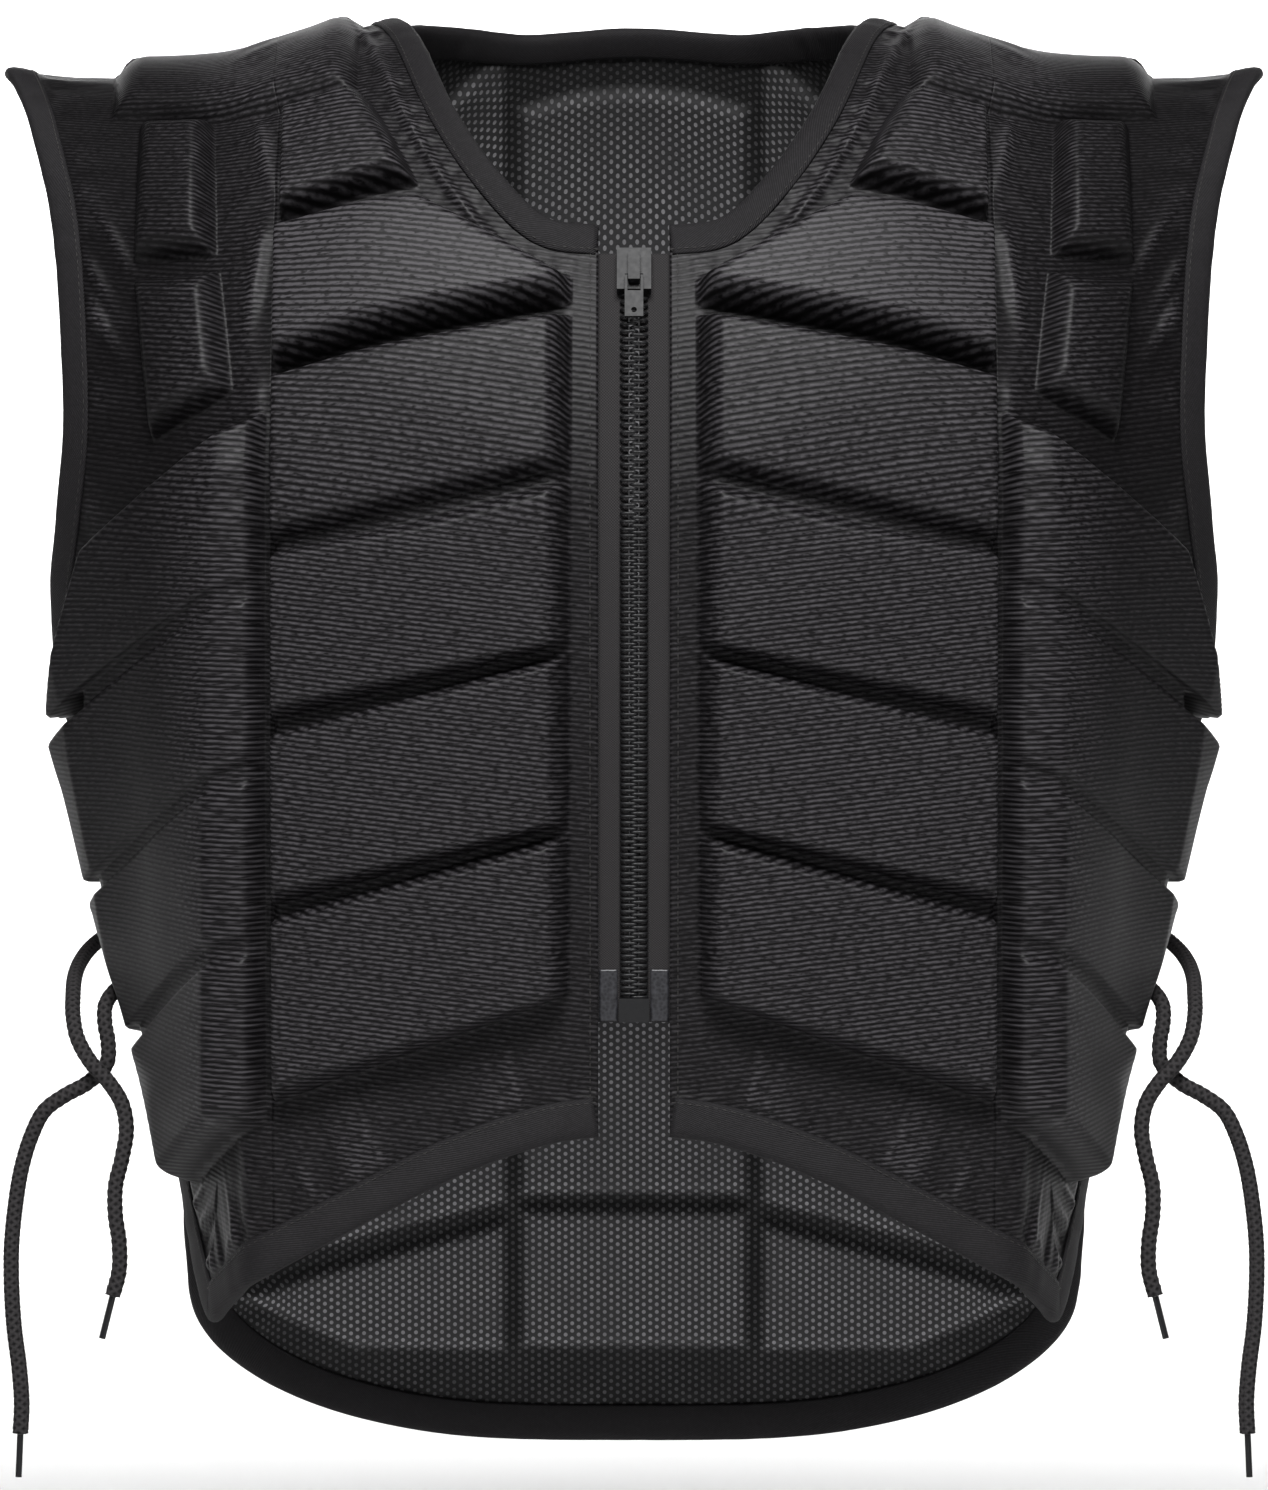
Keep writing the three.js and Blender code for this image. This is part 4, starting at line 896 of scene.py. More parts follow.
def back_height(flat):
    tall = np.zeros(flat.shape[:-1])
    folded = both_sides(flat)
    for corners in spine_blocks:
        tall = raised_by(tall, corners, flat, SOFT["back"], PAD)
    for corners in flank_blocks:
        tall = raised_by(tall, corners, folded, SOFT["back"], PAD)
    tall = tall * nape_share(folded)
    split = np.abs(folded[..., 0] - FLANK_SPLIT) - 2.5
    low = folded[..., 1] < FLANK_GROOVES[2][0] * LENGTH - 0.1 * (folded[..., 0] - SPINE_HALF)
    tall = np.where(low, np.minimum(tall, block_height(split, PAD)), tall)
    over = np.stack([folded[..., 0], 2 * RIDGE - folded[..., 1]], axis=-1)
    tall = raised_by(tall, shares(SHOULDER), over, SOFT["strap"], SHOULDER_PAD)
    eased = gathers(*edge_distance(back_round, folded), HEM_WIDTH, 9.0, 1.2, 31)
    # The second value is painted shade: the cover is painted darker in the channels between the blocks.
    return SHELL + tall + eased * np.exp(-tall / 3.0), 0.55 + 0.45 * np.clip(tall / PAD, 0, 1)


RIB_PITCH = 1.95 * MM
RIB_SLANT = 0.125


def ribbed_stretch_fabric():
    """Satin stretch fabric with fine slanting ribs, whose crests are painted lighter in short dashes as
    painted glints, scaled by the stored painted light and shade.
    """
    make = Maker("ribbed_stretch_fabric", 0.42, 0.11)
    flat, across, up = make.cloth()
    climb = make.sum("MULTIPLY_ADD", across, -RIB_SLANT, up)
    crest = make.sum("MULTIPLY_ADD", make.wave(climb, RIB_PITCH), 0.5, 0.5)
    squeezed = make.node("ShaderNodeMapping", 0, {"Vector": flat, "Scale": (0.35, 1.0, 1.0)})
    dash = make.noise(squeezed, 1.0 * MM, 3.0)
    # Painted glints: short noise dashes that lighten the rib crests.
    lit = make.sum("MAXIMUM", make.sum("MULTIPLY_ADD", dash, 4.0, -1.3), 0.08)
    shown = make.sum("MULTIPLY", make.sum("MULTIPLY", make.sum("POWER", crest, 1.3), lit), make.tone())
    make.colour(shown, "0d0c0d", "464447")
    make.bump(make.sum("MULTIPLY_ADD", dash, 0.5, crest), 0.14 * MM, 0.6)
    return make.material


cover_cloth = ribbed_stretch_fabric()
ARM_OUT = ARM_SHARE * QUARTER


def ridge_at(across):
    return (across, RIDGE)


def on_ridge(start, end):
    return straight(ridge_at(start), ridge_at(end))


hem_f = [share_at(hem_edge, CREASE), share_at(hem_edge, CREASE_END)]
tail_f = [share_at(tail_edge, CREASE), share_at(tail_edge, CREASE_END)]
UPPER_IN, UPPER_OUT = 0.38, 0.5


def even(count):
    return np.linspace(0, 1, count)


def stitched(strips):
    """Strips of flat points side by side, which share the points where they meet."""
    return np.concatenate([strips[0]] + [strip[1:] for strip in strips[1:]], axis=0)


def cover_panel(name, flat, heights, underside, on_back, flip, material, coarse=1, tone=None):
    """A closed panel: one side at its heights, the other side plain, and a wall round the edge."""
    columns, rows = flat.shape[:2]
    outside = wrap(flat[..., 0], flat[..., 1], heights, on_back).reshape(-1, 3) * flip
    thin = flat[::coarse, ::coarse]
    inside = wrap(thin[..., 0], thin[..., 1], underside, on_back).reshape(-1, 3) * flip
    size = columns * rows
    faces = grid_faces(columns, rows).tolist()
    faces += (grid_faces(*thin.shape[:2])[:, ::-1] + size).tolist()

    def round_trip(index):
        return np.concatenate([index[:-1, 0], index[-1, :-1], index[:0:-1, -1], index[0, :0:-1]])

    rim = round_trip(np.arange(size).reshape(columns, rows))
    inner_rim = round_trip(np.arange(thin[..., 0].size).reshape(thin.shape[:2])) + size
    count = len(inner_rim)
    for n in range(count):
        span = [int(rim[(n * coarse + k) % len(rim)]) for k in range(coarse, -1, -1)]
        faces.append(span + [int(inner_rim[n]), int(inner_rim[(n + 1) % count])])
    if (flip[0] < 0) != on_back:
        faces = [face[::-1] for face in faces]
    uv = np.concatenate([flat.reshape(-1, 2), thin.reshape(-1, 2)]) * MM
    piece = new_piece(name, np.concatenate([outside, inside]), faces, material, uv)
    # Painted light and shade for the outer points; the plain side is stored at 1.
    if tone is not None:
        layer = piece.data.attributes.new("tone", "FLOAT", "POINT")
        every = np.concatenate([tone.ravel(), np.ones(thin.shape[0] * thin.shape[1])])
        layer.data.foreach_set("value", every.astype(np.float32))
    return piece


UNDERSIDE = 1.5
COARSE = 6
FINE_ROWS = 481
rows_v = even(FINE_ROWS)
zip_side = chain(zip_edge, neck_edge, 1 - UPPER_IN)
arm_side = chain(side_edge, arm_edge, 1 - UPPER_OUT)
hem_ends = [hem_edge(f) for f in hem_f]


def groove_levels(grooves, starts, stops, across):
    """Levels at which a column's grooves, lowest first, pass a place across the panel."""
    levels = []
    for (high, low, width), start, stop, place in list(zip(grooves, starts, stops, across))[::-1]:
        levels.append(LENGTH * (high + (low - high) * (place - start) / (stop - start)))
    return levels


count = len(CHEST_GROOVES)
chest_span = [CHEST_INNER] * count, [CHEST_OUTER] * count
COLLAR_LEVELS = (-0.126 * LENGTH, -0.141 * LENGTH)
at_zip = groove_levels(CHEST_GROOVES, *chest_span, [ZIP_HALF] * count)
at_crease = groove_levels(CHEST_GROOVES, *chest_span, [CREASE] * count)
chest_flat = patch(
    portion(hem_edge, 0, hem_f[0]),
    on_ridge(NECK_HALF, CREASE),
    zip_side,
    level_with(
        zip_side,
        [zip_side(0.0)[1], *at_zip, COLLAR_LEVELS[0], RIDGE],
        [hem_ends[0][1], *at_crease, COLLAR_LEVELS[1], RIDGE],
        hem_ends[0],
        ridge_at(CREASE),
    ),
    even(109),
    rows_v,
    6,
)
side_stops = [side_outer(n) for n in range(len(SIDE_GROOVES))]
side_span = [SIDE_INNER] * len(SIDE_GROOVES), side_stops
at_side = groove_levels(SIDE_GROOVES, *side_span, [stop + SIDE_MARGIN for stop in side_stops])
crease_edges = [
    level_with(
        arm_side,
        [arm_side(0.0)[1], *at_side, RIDGE],
        [foot[1], *groove_levels(SIDE_GROOVES, *side_span, [place] * len(SIDE_GROOVES)), RIDGE],
        foot,
        ridge_at(place),
    )
    for place, foot in zip((CREASE, CREASE_END), hem_ends)
]
side_flat = stitched(
    [
        patch(
            straight(*hem_ends),
            on_ridge(CREASE, CREASE_END),
            *crease_edges,
            even(19),
            rows_v,
            6,
        ),
        patch(
            portion(hem_edge, hem_f[1], 1),
            on_ridge(CREASE_END, ARM_OUT),
            crease_edges[1],
            arm_side,
            even(109),
            rows_v,
            6,
        ),
    ]
)
CHEST_NODES = [f"pad_chest_{n}" for n in range(1, 6)] + ["pad_collarbone"]
SIDE_NODES = ["pad_shoulder", "pad_arm_1", "pad_arm_2"] + [f"pad_side_{n}" for n in range(1, 5)]
for side, flip in (("left", np.ones(3)), ("right", mirror)):
    for part, flat, nodes in (
        ("chest", chest_flat, [f"front_shell_{side}"] + [f"{node}_{side}" for node in CHEST_NODES]),
        ("side", side_flat, [f"{node}_{side}" for node in SIDE_NODES]),
    ):
        heights, tone = front_height(flat)
        cover = cover_panel(
            f"{part}_cover_{side}", flat, heights, UNDERSIDE, False, flip, cover_cloth, COARSE, tone
        )
        carried(cover, "cover", *nodes)

# The back cover: the same fabric in one panel, over one column of blocks at the spine and a wide
# column on each flank, and over the shoulders to the seam on the ridge.
STRAP_SHARE = 0.1
back_top = chain(
    on_ridge(-CREASE, -NECK_HALF),
    chain(
        back_neck,
        on_ridge(NECK_HALF, CREASE),
        (1 - 2 * STRAP_SHARE) / (1 - STRAP_SHARE),
    ),
    STRAP_SHARE,
)
back_round = edge(shares([*TAIL, *BACK_SIDE[1:]]))
BACK_ROWS = 301
back_v = even(BACK_ROWS)
side_strip = patch(
    portion(tail_edge, tail_f[1], 1),
    on_ridge(CREASE_END, ARM_OUT),
    straight(tail_edge(tail_f[1]), ridge_at(CREASE_END)),
    chain(back_side, back_arm, 1 - UPPER_OUT),
    even(43),
    back_v,
)
turn_strip = patch(
    straight(tail_edge(tail_f[0]), tail_edge(tail_f[1])),
    on_ridge(CREASE, CREASE_END),
    straight(tail_edge(tail_f[0]), ridge_at(CREASE)),
    straight(tail_edge(tail_f[1]), ridge_at(CREASE_END)),
    even(10),
    back_v,
)
tail_in = tail_edge(tail_f[0])
middle_strip = patch(
    portion(tail_edge, 1 - tail_f[0], tail_f[0]),
    back_top,
    straight((-tail_in[0], tail_in[1]), ridge_at(-CREASE)),
    straight(tail_in, ridge_at(CREASE)),
    even(163),
    back_v,
)
left_out = np.array([-1, 1])
right_strips = [strip[::-1] * left_out for strip in (side_strip, turn_strip)]
back_flat = stitched([*right_strips, middle_strip, turn_strip, side_strip])
heights, tone = back_height(back_flat)
back_cover = cover_panel(
    "back_cover", back_flat, heights, UNDERSIDE, True, np.ones(3), cover_cloth, COARSE, tone
)
carried(
    back_cover,
    "cover",
    "back_shell",
    *[f"pad_spine_{n}" for n in range(1, 5)],
    *[f"pad_flank_{n}_{side}" for n in range(1, 4) for side in ("left", "right")],
)

# The lining: knitted polyester mesh with small round holes, on the body's side, sewn to the cover in
# the channels between the blocks, so that it is quilted too.
HOLE_PITCH = 3.15 * MM
ROW_SHARE = 0.866
LINING_OUT = 1.2
LINING_BULGE = 4.5


def perforated_mesh():
    """Dark knit with real staggered holes; their light colour is painted light, brighter in patches, as
    if the white backdrop showed through them.
    """
    make = Maker("perforated_polyester_mesh", 0.75, 0.2)
    flat, across, up = make.cloth()
    column = make.sum("DIVIDE", across, HOLE_PITCH * ROW_SHARE)
    odd = make.sum("MODULO", make.sum("ADD", make.sum("FLOOR", column), 2000.0), 2.0)
    cell = make.sum("ADD", make.sum("DIVIDE", up, HOLE_PITCH), make.sum("MULTIPLY", odd, 0.5))
    x = make.sum("MULTIPLY", make.sum("SUBTRACT", make.sum("FRACT", column), 0.5), ROW_SHARE)
    y = make.sum("SUBTRACT", make.sum("FRACT", make.sum("ADD", cell, 2000.0)), 0.5)
    reach = make.sum("SQRT", make.sum("ADD", make.sum("MULTIPLY", x, x), make.sum("MULTIPLY", y, y)))
    rim = {"Value": reach, "From Min": 0.3, "From Max": 0.22}
    hole = make.node("ShaderNodeMapRange", 0, rim, interpolation_type="SMOOTHSTEP")
    patchy = make.noise(flat, 22 * MM)
    # Painted light: the holes are painted lighter, brighter in patches, for the backdrop showing through.
    light = make.sum("MULTIPLY", hole, make.sum("MULTIPLY_ADD", patchy, 1.6, 0.15))
    # The stored painted light and shade scales the whole colour.
    shown = make.sum("MULTIPLY", make.sum("MULTIPLY_ADD", light, 0.835, 0.165), make.tone())
    make.colour(shown, "060606", "9b9a9d")
    make.bump(make.sum("SUBTRACT", 1.0, hole), 0.3 * MM, 0.8)
    return make.material


lining_cloth = perforated_mesh()


def cut_size(flat):
    """Width, length and area of a panel's flat cut, in metres."""
    points = flat * MM
    width, length = np.ptp(points.reshape(-1, 2), axis=0)
    one = points[1:, 1:] - points[:-1, :-1]
    other = points[:-1, 1:] - points[1:, :-1]
    area = np.abs(one[..., 0] * other[..., 1] - one[..., 1] * other[..., 0]).sum() / 2
    return (round(float(width), 3), round(float(length), 3)), round(float(area), 4)


def bulge(blocks, flat):
    """How far the lining bulges towards the body: 1 on a block, 0 in a channel."""
    raised = np.zeros(flat.shape[:-1])
    for corners in blocks:
        inside = np.clip((quad_distance(corners, flat) + 0.5) / 5.0, 0, 1)
        raised = np.maximum(raised, 1 - (1 - inside) ** 2)
    return raised


front_blocks = chest_blocks + side_blocks + [chest_top_block, shares(COLLARBONE)]
front_lining_flat = stitched([chest_flat[::3, ::3], side_flat[::3, ::3]])[::-1]
front_bulge = bulge(front_blocks, front_lining_flat)
folded_back = both_sides(back_flat)
flank_bulge = bulge([*flank_blocks, shares(LOW_FLANK)], folded_back)
split_share = np.clip((np.abs(folded_back[..., 0] - FLANK_SPLIT) - 2.0) / 5.0, 0, 1)
low_part = folded_back[..., 1] < -0.6 * LENGTH
above_low = folded_back[..., 1] > -0.8 * LENGTH - 0.18 * (folded_back[..., 0] - SPINE_HALF)
flank_bulge = np.where(low_part & above_low, np.minimum(flank_bulge, split_share), flank_bulge)
back_bulge = np.maximum(bulge(spine_blocks, back_flat), flank_bulge) * nape_share(folded_back)
tail_near, tail_run = edge_distance(back_round, folded_back)
gathered = gathers(tail_near, tail_run, HEM_WIDTH, 8.0, 1.4, 33)
netting = np.maximum(gathered * (1 - back_bulge), -0.4)
left_covers, right_covers = (
    [f"{part}_cover_{side}" for part in ("chest", "side")] for side in ("left", "right")
)
linings = [
    ("front_lining_left", front_lining_flat, front_bulge, 0, False, np.ones(3), left_covers),
    ("front_lining_right", front_lining_flat, front_bulge, 0, False, mirror, right_covers),
    ("back_lining", back_flat[::-1], back_bulge[::-1], netting[::-1], True, np.ones(3), ["back_cover"]),
]
for name, flat, raised, loose, on_back, flip, holders in linings:
    heights = 0.4 - LINING_BULGE * raised - loose
    lower = np.clip(-flat[..., 1] / (0.7 * LENGTH), 0, 1)
    # Painted shade: the lining is painted darker in the channels and darker towards the top, at the neck.
    tone = (0.25 + 0.75 * raised) * (0.33 + 0.67 * lower)
    lining = cover_panel(
        name, flat, heights, LINING_OUT, on_back, flip, lining_cloth, COARSE, tone
    )
    carried(lining, "cover")
    cut, area = cut_size(flat)

# Bindings: twill tape folded over each raw edge and sewn through, with one row of stitches. The hem
# and side tapes run on into each other at the corners.
TWILL_PITCH = 1.3 * MM
EDGE_POINTS = 400


def twill_tape():
    """Woven tape with a fine diagonal, whose raised threads are painted lighter: a painted sheen."""
    make = Maker("polyester_twill_tape", 0.65, 0.18)
    flat, along_tape, across_tape = make.cloth()
    slant = make.sum("ADD", along_tape, make.sum("MULTIPLY", across_tape, 1.6))
    thread = make.sum("MULTIPLY_ADD", make.wave(slant, TWILL_PITCH), 0.5, 0.5)
    grain = make.noise(make.place(), 1.2 * MM, 3.0)
    # Painted sheen: the raised diagonal threads are painted lighter, with grain noise.
    make.colour(make.sum("MULTIPLY", thread, grain), "100f10", "353336")
    make.bump(make.sum("MULTIPLY_ADD", grain, 0.6, thread), 0.15 * MM, 0.8)
    return make.material


tape_cloth = twill_tape()


def folded_section(width):
    """A folded tape's outline as (inset from the edge, height) points."""
    top, low = SHELL, 0.0
    return np.array(
        [
            (width, top + 0.25),
            (width - 0.5, top + 0.95),
            (width - 2.0, top + 1.0),
            (width / 2, top + 1.4),
            (2.4, top + 1.4),
            (0.4, top + 1.1),
            (-0.8, top + 0.3),
            (-1.35, top - 1.0),
            (-1.35, low + 0.8),
            (-0.8, low - 0.2),
            (0.4, low - 0.9),
            (2.4, low - 1.2),
            (width / 2, low - 1.2),
            (width - 1.0, low - 1.0),
            (width, low - 0.5),
            (width - 0.3, low + 0.2),
            (1.2, low + 0.3),
            (0.6, top / 2),
            (1.2, top - 0.2),
            (width - 0.3, top - 0.2),
        ]
    )


def strip_rings(path, steps, section, on_back, ripple=None):
    """Rings of a section carried along a flat edge, and the directions at each ring."""
    f = np.linspace(0, 1, steps)
    points = path(f)
    ahead = path(np.minimum(f + 0.003, 1)) - path(np.maximum(f - 0.003, 0))
    ahead /= np.linalg.norm(ahead, axis=1)[:, None]
    inward = np.stack([-ahead[:, 1], ahead[:, 0]], axis=1)
    flat = points[:, None] + inward[:, None] * section[None, :, :1]
    heights = np.broadcast_to(section[None, :, 1], flat.shape[:2])
    if ripple is not None:
        heights = heights + ripple[:, None] * np.sign(section[None, :, 1] - SHELL / 2) * 0.25
    return wrap(flat[..., 0], flat[..., 1], heights, on_back)


def binding(name, node, path, width, on_back, flip=np.ones(3), seed=1):
    length = float(run_along(path(np.linspace(0, 1, EDGE_POINTS)))[-1])
    steps = round(length / 2.0)
    section = folded_section(width)
    rings = strip_rings(path, steps, section, on_back, uneven(np.linspace(0, length, steps), 7.0, seed))
    count = len(section)
    around = run_along(section)
    run = np.linspace(0, length, steps)
    uv = np.stack(np.broadcast_arrays(run[:, None], around[None, :]), axis=-1).reshape(-1, 2) * MM
    faces = ring_faces(steps, count)
    faces.append(tuple(range(count - 1, -1, -1)))
    faces.append(tuple((steps - 1) * count + k for k in range(count)))
    if (flip[0] < 0) != on_back:
        faces = [face[::-1] for face in faces]
    tape = new_piece(name, rings.reshape(-1, 3) * flip, faces, tape_cloth, uv)
    carried(tape, "binding_tape", node)


def backwards(line):
    return lambda f: line(1 - np.asarray(f))


binding("neck_tape", "neck_binding", backwards(neck_line), NECK_WIDTH, False, seed=41)
binding("tail_tape", "tail_binding", tail_line, HEM_WIDTH, True, seed=42)
for side, flip in (("left", np.ones(3)), ("right", mirror)):
    binding(f"arm_tape_{side}", f"arm_binding_{side}", arm_line, ARM_WIDTH, False, flip, 43)
    binding(f"hem_tape_{side}", f"hem_binding_{side}", hem_line, HEM_WIDTH, False, flip, 44)

# Stitches: black polyester thread in a straight row down each binding and beside the zip.
STITCH_PITCH = 3.0
STITCH = {"long": 2.3, "wide": 0.5, "tall": 0.36}


def repeat_group():
    """Nodes that set one piece at each point, turned to the point's own two directions."""
    group = bpy.data.node_groups.new("repeat_piece", "GeometryNodeTree")
    sockets = {
        "Points": "Geometry",
        "Piece": "Object",
        "Material": "Material",
        "Size variation": "Float",
        "Seed": "Int",
    }
    for label, kind in sockets.items():
        group.interface.new_socket(label, in_out="INPUT", socket_type=f"NodeSocket{kind}")
    group.interface.new_socket("Geometry", in_out="OUTPUT", socket_type="NodeSocketGeometry")

    def add(kind, sources, **settings):
        node = group.nodes.new(kind)
        for key, value in settings.items():
            setattr(node, key, value)
        for key, source in sources.items():
            group.links.new(source, node.inputs[key])
        return node

    given = add("NodeGroupInput", {}).outputs
    directions = {}
    for n, key in enumerate(("out", "along")):
        named = add("GeometryNodeInputNamedAttribute", {}, data_type="FLOAT_VECTOR")
        named.inputs["Name"].default_value = key
        directions[n] = named.outputs["Attribute"]
    turned = add("FunctionNodeAxesToRotation", directions, primary_axis="Z", secondary_axis="X")
    piece = add("GeometryNodeObjectInfo", {"Object": given["Piece"]})
    least = add("ShaderNodeMath", {1: given["Size variation"]}, operation="SUBTRACT")
    least.inputs[0].default_value = 1.0
    sizes = {2: least.outputs[0], "Seed": given["Seed"]}
    size = add("FunctionNodeRandomValue", sizes, data_type="FLOAT")
    size.inputs[3].default_value = 1.0
    places = {
        "Points": given["Points"],
        "Instance": piece.outputs["Geometry"],
        "Rotation": turned.outputs[0],
        "Scale": size.outputs[1],
    }
    placed = add("GeometryNodeInstanceOnPoints", places)
    real = add("GeometryNodeRealizeInstances", {0: placed.outputs[0]})
    dyed = {"Geometry": real.outputs[0], "Material": given["Material"]}
    add("NodeGroupOutput", {0: add("GeometryNodeSetMaterial", dyed).outputs[0]})
    return group


REPEAT = repeat_group()


def repeated(name, places, along_way, out, piece, material, variation=0.0, seed=1):
    """A piece set at each place, as one plain mesh."""
    points = bpy.data.meshes.new(f"{name}_places")
    points.from_pydata(np.asarray(places).tolist(), [], [])
    for key, value in (("along", along_way), ("out", out)):
        layer = points.attributes.new(key, "FLOAT_VECTOR", "POINT")
        layer.data.foreach_set("vector", np.asarray(value, np.float32).ravel())
    holder = bpy.data.objects.new(name, points)
    scene.collection.objects.link(holder)
    change = holder.modifiers.new("repeat", "NODES")
    change.node_group = REPEAT
    values = {"Piece": piece, "Material": material, "Size variation": variation, "Seed": seed}
    for item in REPEAT.interface.items_tree:
        if item.in_out == "INPUT" and item.name in values:
            change[item.identifier] = values[item.name]
    bpy.context.view_layer.update()
    shown = holder.evaluated_get(bpy.context.evaluated_depsgraph_get())
    made = bpy.data.meshes.new_from_object(shown)
    holder.modifiers.clear()
    holder.data = made
    made.name = name
    made.polygons.foreach_set("use_smooth", [True] * len(made.polygons))
    bpy.data.objects.remove(piece)
    return holder


def lozenge(long, wide, tall, sides=6, rings=4):
    """A small rounded stick along X, which lies on the plane below it."""
    t = np.linspace(0, math.pi, rings + 2)[1:-1]
    turn = np.arange(sides) * 2 * math.pi / sides
    middle = [
        (-math.cos(a), math.sin(a) * math.cos(b), math.sin(a) * math.sin(b)) for a in t for b in turn
    ]
    points = np.array(middle + [(-1, 0, 0), (1, 0, 0)]) * np.array([long, wide, tall]) / 2 * MM
    return new_piece("stitch", points, closed_faces(rings, sides), thread)


def spun_thread():
    make = Maker("polyester_thread", 0.55, 0.3)
    twist = make.noise(make.place(), 0.3 * MM)
    make.colour(twist, "1b1a1a", "3d3b3a")
    return make.material


thread = spun_thread()


def row_of_stitches(path, inset, height, on_back, flip, pitch=STITCH_PITCH):
    """Places and directions of a row of stitches along an edge."""
    length = float(run_along(path(np.linspace(0, 1, EDGE_POINTS)))[-1])
    section = np.array([(inset, height), (inset, height + 1.0)])
    pairs = strip_rings(path, round(length / pitch), section, on_back) * flip
    places = pairs[:, 0]
    out = pairs[:, 1] - places
    return places, np.gradient(places, axis=0), out


def placket(side_x):
    """The straight seam beside the zip, from a little under the neck to a little over the hem."""
    top, drop = ZIP_TOP[1] * LENGTH - 10, (ZIP_TOP[1] - ZIP_BOTTOM[1]) * LENGTH - 24
    return lambda f: np.stack([np.full(np.shape(f), side_x), top - drop * np.asarray(f)], axis=-1)


left, right = np.ones(3), mirror
rows = [
    (backwards(neck_line), NECK_WIDTH - 1.7, SHELL + 1.1, False, left),
    (tail_line, HEM_WIDTH - 1.9, SHELL + 1.1, True, left),
]
for flip in (left, right):
    rows.append((arm_line, ARM_WIDTH - 1.8, SHELL + 1.1, False, flip))
    rows.append((hem_line, HEM_WIDTH - 1.9, SHELL + 1.1, False, flip))
    rows.append((placket(ZIP_HALF + 3.0), 0.0, SHELL + 0.12, False, flip))
sewn = [np.concatenate(part) for part in zip(*(row_of_stitches(*row) for row in rows))]
stitch = lozenge(STITCH["long"], STITCH["wide"], STITCH["tall"])
stitches = repeated("binding_stitches", *sewn, stitch, thread, 0.15, 7)
carried(stitches, "binding_tape")

# Eyelets: each lace hole is worked round with a close ring of thread, in the front and the back.
EYELET_LEVELS = (0.2, 0.43, 0.66)
EYELET_INSET = 21.0


def ring(inner, outer, tall, sides=28):
    turn = np.arange(sides) * 2 * math.pi / sides
    profile = ((inner, 0.0), (inner + 0.3, tall * 0.8), ((inner + outer) / 2, tall), (outer, 0.0))
    points = [(r * math.cos(a) * MM, r * math.sin(a) * MM, h * MM) for r, h in profile for a in turn]
    faces = []
    for j in range(4):
        for k in range(sides):
            m, n = (k + 1) % sides, (j + 1) % 4
            faces.append((j * sides + k, n * sides + k, n * sides + m, j * sides + m))
    return new_piece("ring", points, faces, thread)


places, along_ways, outs = [], [], []
for line, on_back in ((side_edge, False), (back_side, True)):
    for level in EYELET_LEVELS:
        across, up = line(1 - level)
        across = across - EYELET_INSET
        foot, top, ahead = (
            wrap(*args, on_back) for args in ((across, up, 3.0), (across, up, 4.0), (across, up + 1, 3.0))
        )
        for flip in (left, right):
            places.append(foot * flip)
            along_ways.append((ahead - foot) * flip)
            outs.append((top - foot) * flip)
hole_radius = LACE / MM / 2 + 0.4
worked_ring = ring(hole_radius, hole_radius + 1.8, 0.9)
eyelets = repeated("lace_eyelets", places, along_ways, outs, worked_ring, thread)
carried(eyelets, "binding_tape")

# The zip: woven tapes sewn under the front edges, a nylon coil of interlocking loops down the
# middle, a black enamelled slider with a hinged pull, and a moulded box at the lower end.
ZIP_END = -0.662 * LENGTH
ZIP_START = ZIP_TOP[1] * LENGTH
TAPE_GAP = 2.2
TAPE_UNDER = 9.0
SLIDER_LEVEL = -101.0
COIL_TOP = SLIDER_LEVEL - 8.8
COIL_LOW = ZIP_END + 9.6
COIL_PITCH = 2.4
WEFT_PITCH = 0.9 * MM
WARP_PITCH = 1.1 * MM


def woven_tape():
    make = Maker("woven_polyester_tape", 0.8, 0.2)
    flat, across, up = make.cloth()
    crossed = make.sum("MULTIPLY", make.wave(up, WEFT_PITCH), make.wave(across, WARP_PITCH))
    weave = make.sum("MULTIPLY_ADD", crossed, 0.5, 0.5)
    make.colour(weave, "161516", "373536")
    make.bump(weave, 0.12 * MM, 0.8)
    return make.material


def moulded_nylon():
    make = Maker("moulded_black_nylon", 0.4, 0.3)
    grain = make.noise(make.place(), 1.5 * MM)
    make.colour(grain, "141415", "1f1f21")
    make.rough(grain, 0.3, 0.45)
    return make.material


def black_enamel():
    make = Maker("black_enamelled_zinc", 0.45, 0.25)
    wear = make.noise(make.place(), 2.0 * MM, 4.0)
    make.colour(wear, "0b0b0d", "17171a")
    make.rough(wear, 0.4, 0.55)
    make.bump(wear, 0.05 * MM, 0.5)
    return make.material


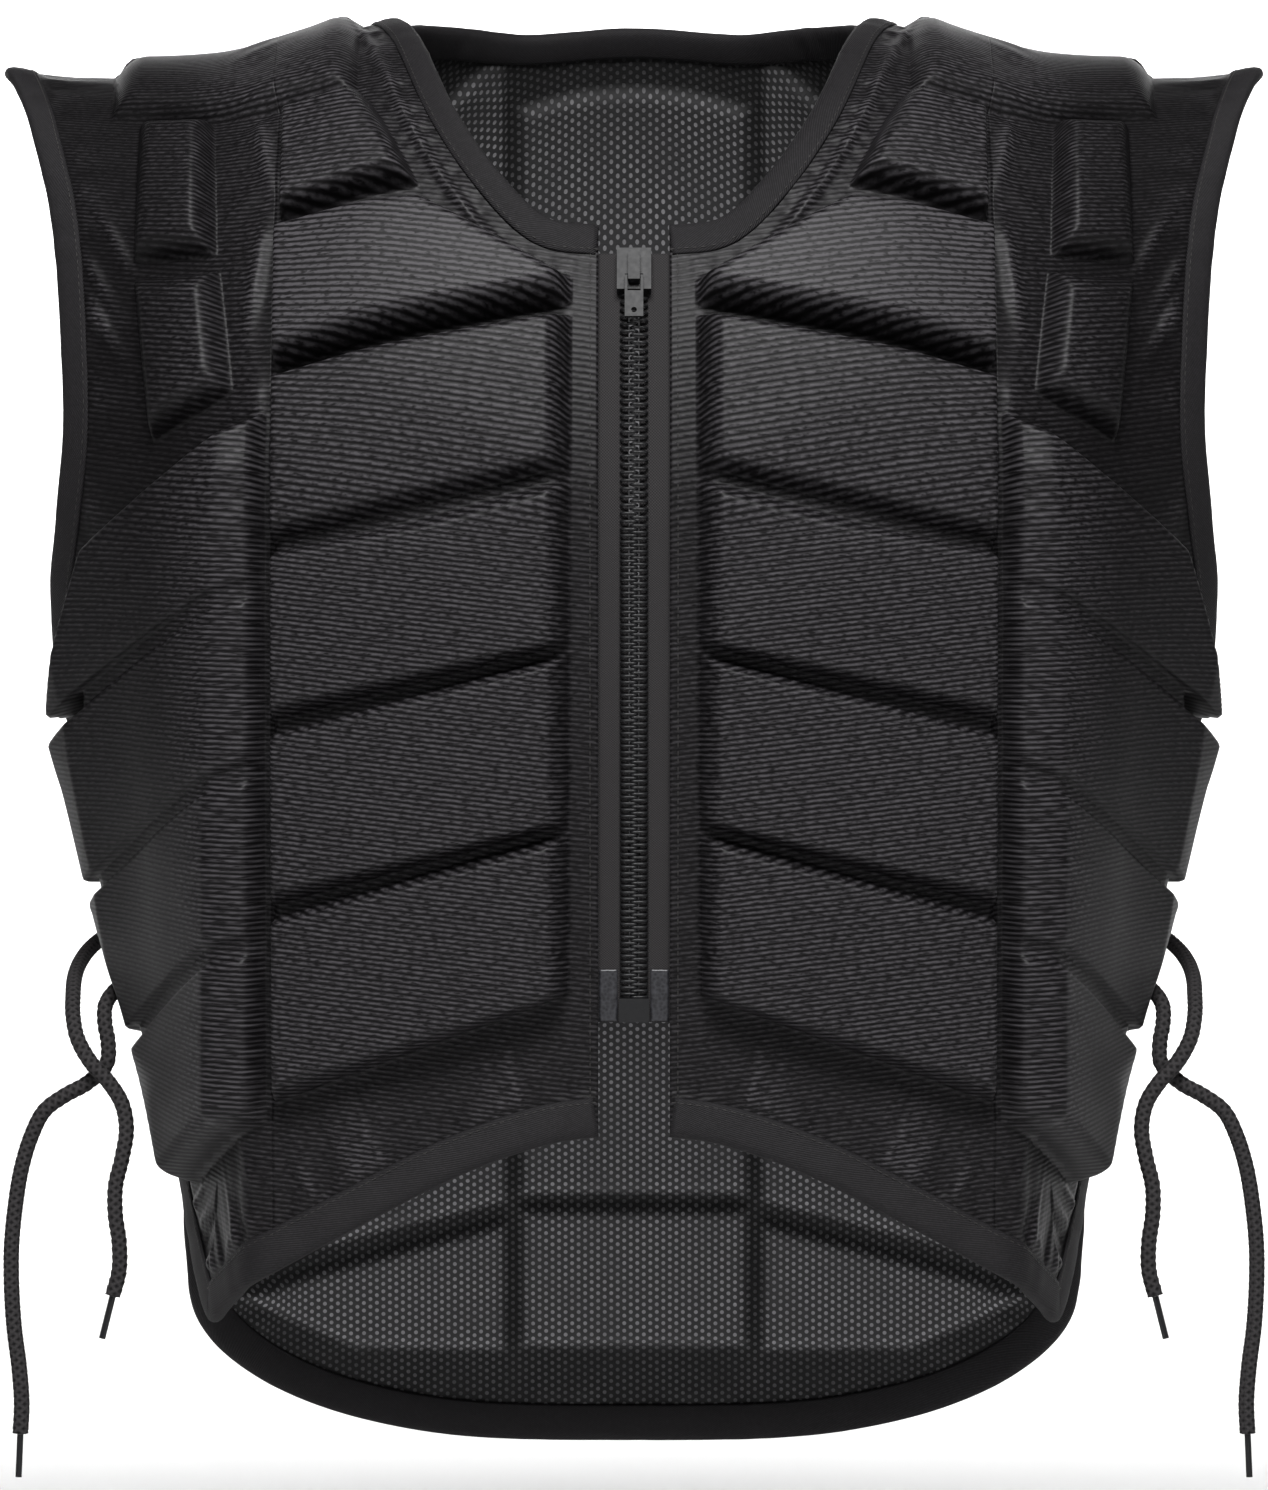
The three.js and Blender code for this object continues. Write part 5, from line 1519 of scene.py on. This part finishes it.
def clear_film():
    make = Maker("clear_polyurethane_film", 0.3, 0.3)
    flat, across, up = make.cloth()
    cells = make.node("ShaderNodeTexVoronoi", "Distance", {"Vector": flat, "Scale": 1 / (1.3 * MM)})
    make.colour(cells, "1a1a1c", "3c3c40")
    make.bump(cells, 0.1 * MM, 0.6)
    return make.material


zip_cloth, nylon, enamel, film_clear = woven_tape(), moulded_nylon(), black_enamel(), clear_film()


def plain_grid(inner, outer, columns, low, high, rows):
    sides = np.linspace(inner, outer, columns), np.linspace(low, high, rows)
    return np.stack(np.meshgrid(*sides, indexing="ij"), axis=-1)


tape_flat = plain_grid(TAPE_GAP, ZIP_HALF + TAPE_UNDER, 22, ZIP_END, ZIP_START - 8, 211)
film_flat = plain_grid(6.2, ZIP_HALF - 0.3, 9, ZIP_END + 0.3, ZIP_END + 20, 21)
for side, flip in (("left", left), ("right", right)):
    tape = cover_panel(f"woven_zip_tape_{side}", tape_flat, -0.3, -1.1, False, flip, zip_cloth)
    carried(tape, "binding_tape", f"zip_tape_{side}")
    film = cover_panel(f"zip_end_film_{side}", film_flat, 0.15, -0.15, False, flip, film_clear)
    carried(film, "nylon")

LOOP = {"out": (4.9, 4.7, 3.6, 1.6, 0, -0.8, -1.1), "up": (0.5, 1.3, 1.9, 2.1, 2.3, 1.9, 1.1)}
loop_path = smooth_route([(out, 0, up) for out, up in zip(LOOP["out"], LOOP["up"])], 0.7) * MM
loop = tube("loop", loop_path, 0.62 * MM, 8, nylon)
levels = np.arange(COIL_LOW, COIL_TOP, COIL_PITCH)
levels = np.concatenate([levels, levels + COIL_PITCH / 2])
foot = wrap(0.0, levels, -0.2)
top = wrap(0.0, levels, 0.8)
sideways = np.zeros_like(foot)
sideways[: len(levels) // 2, 0] = 1
sideways[len(levels) // 2 :, 0] = -1
coil = repeated("interlocked_coil", foot, sideways, top - foot, loop, nylon)
carried(coil, "nylon", "zip_coil")
moulded_tips = [f"lace_{kind}_tip_{side}" for kind in ("long", "short") for side in ("left", "right")]
for node, material in (
    ("zip_slider", enamel),
    ("zip_pull", enamel),
    *((node, nylon) for node in ("zip_box", *moulded_tips)),
):
    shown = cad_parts[node].data.materials
    shown.clear()
    shown.append(material)
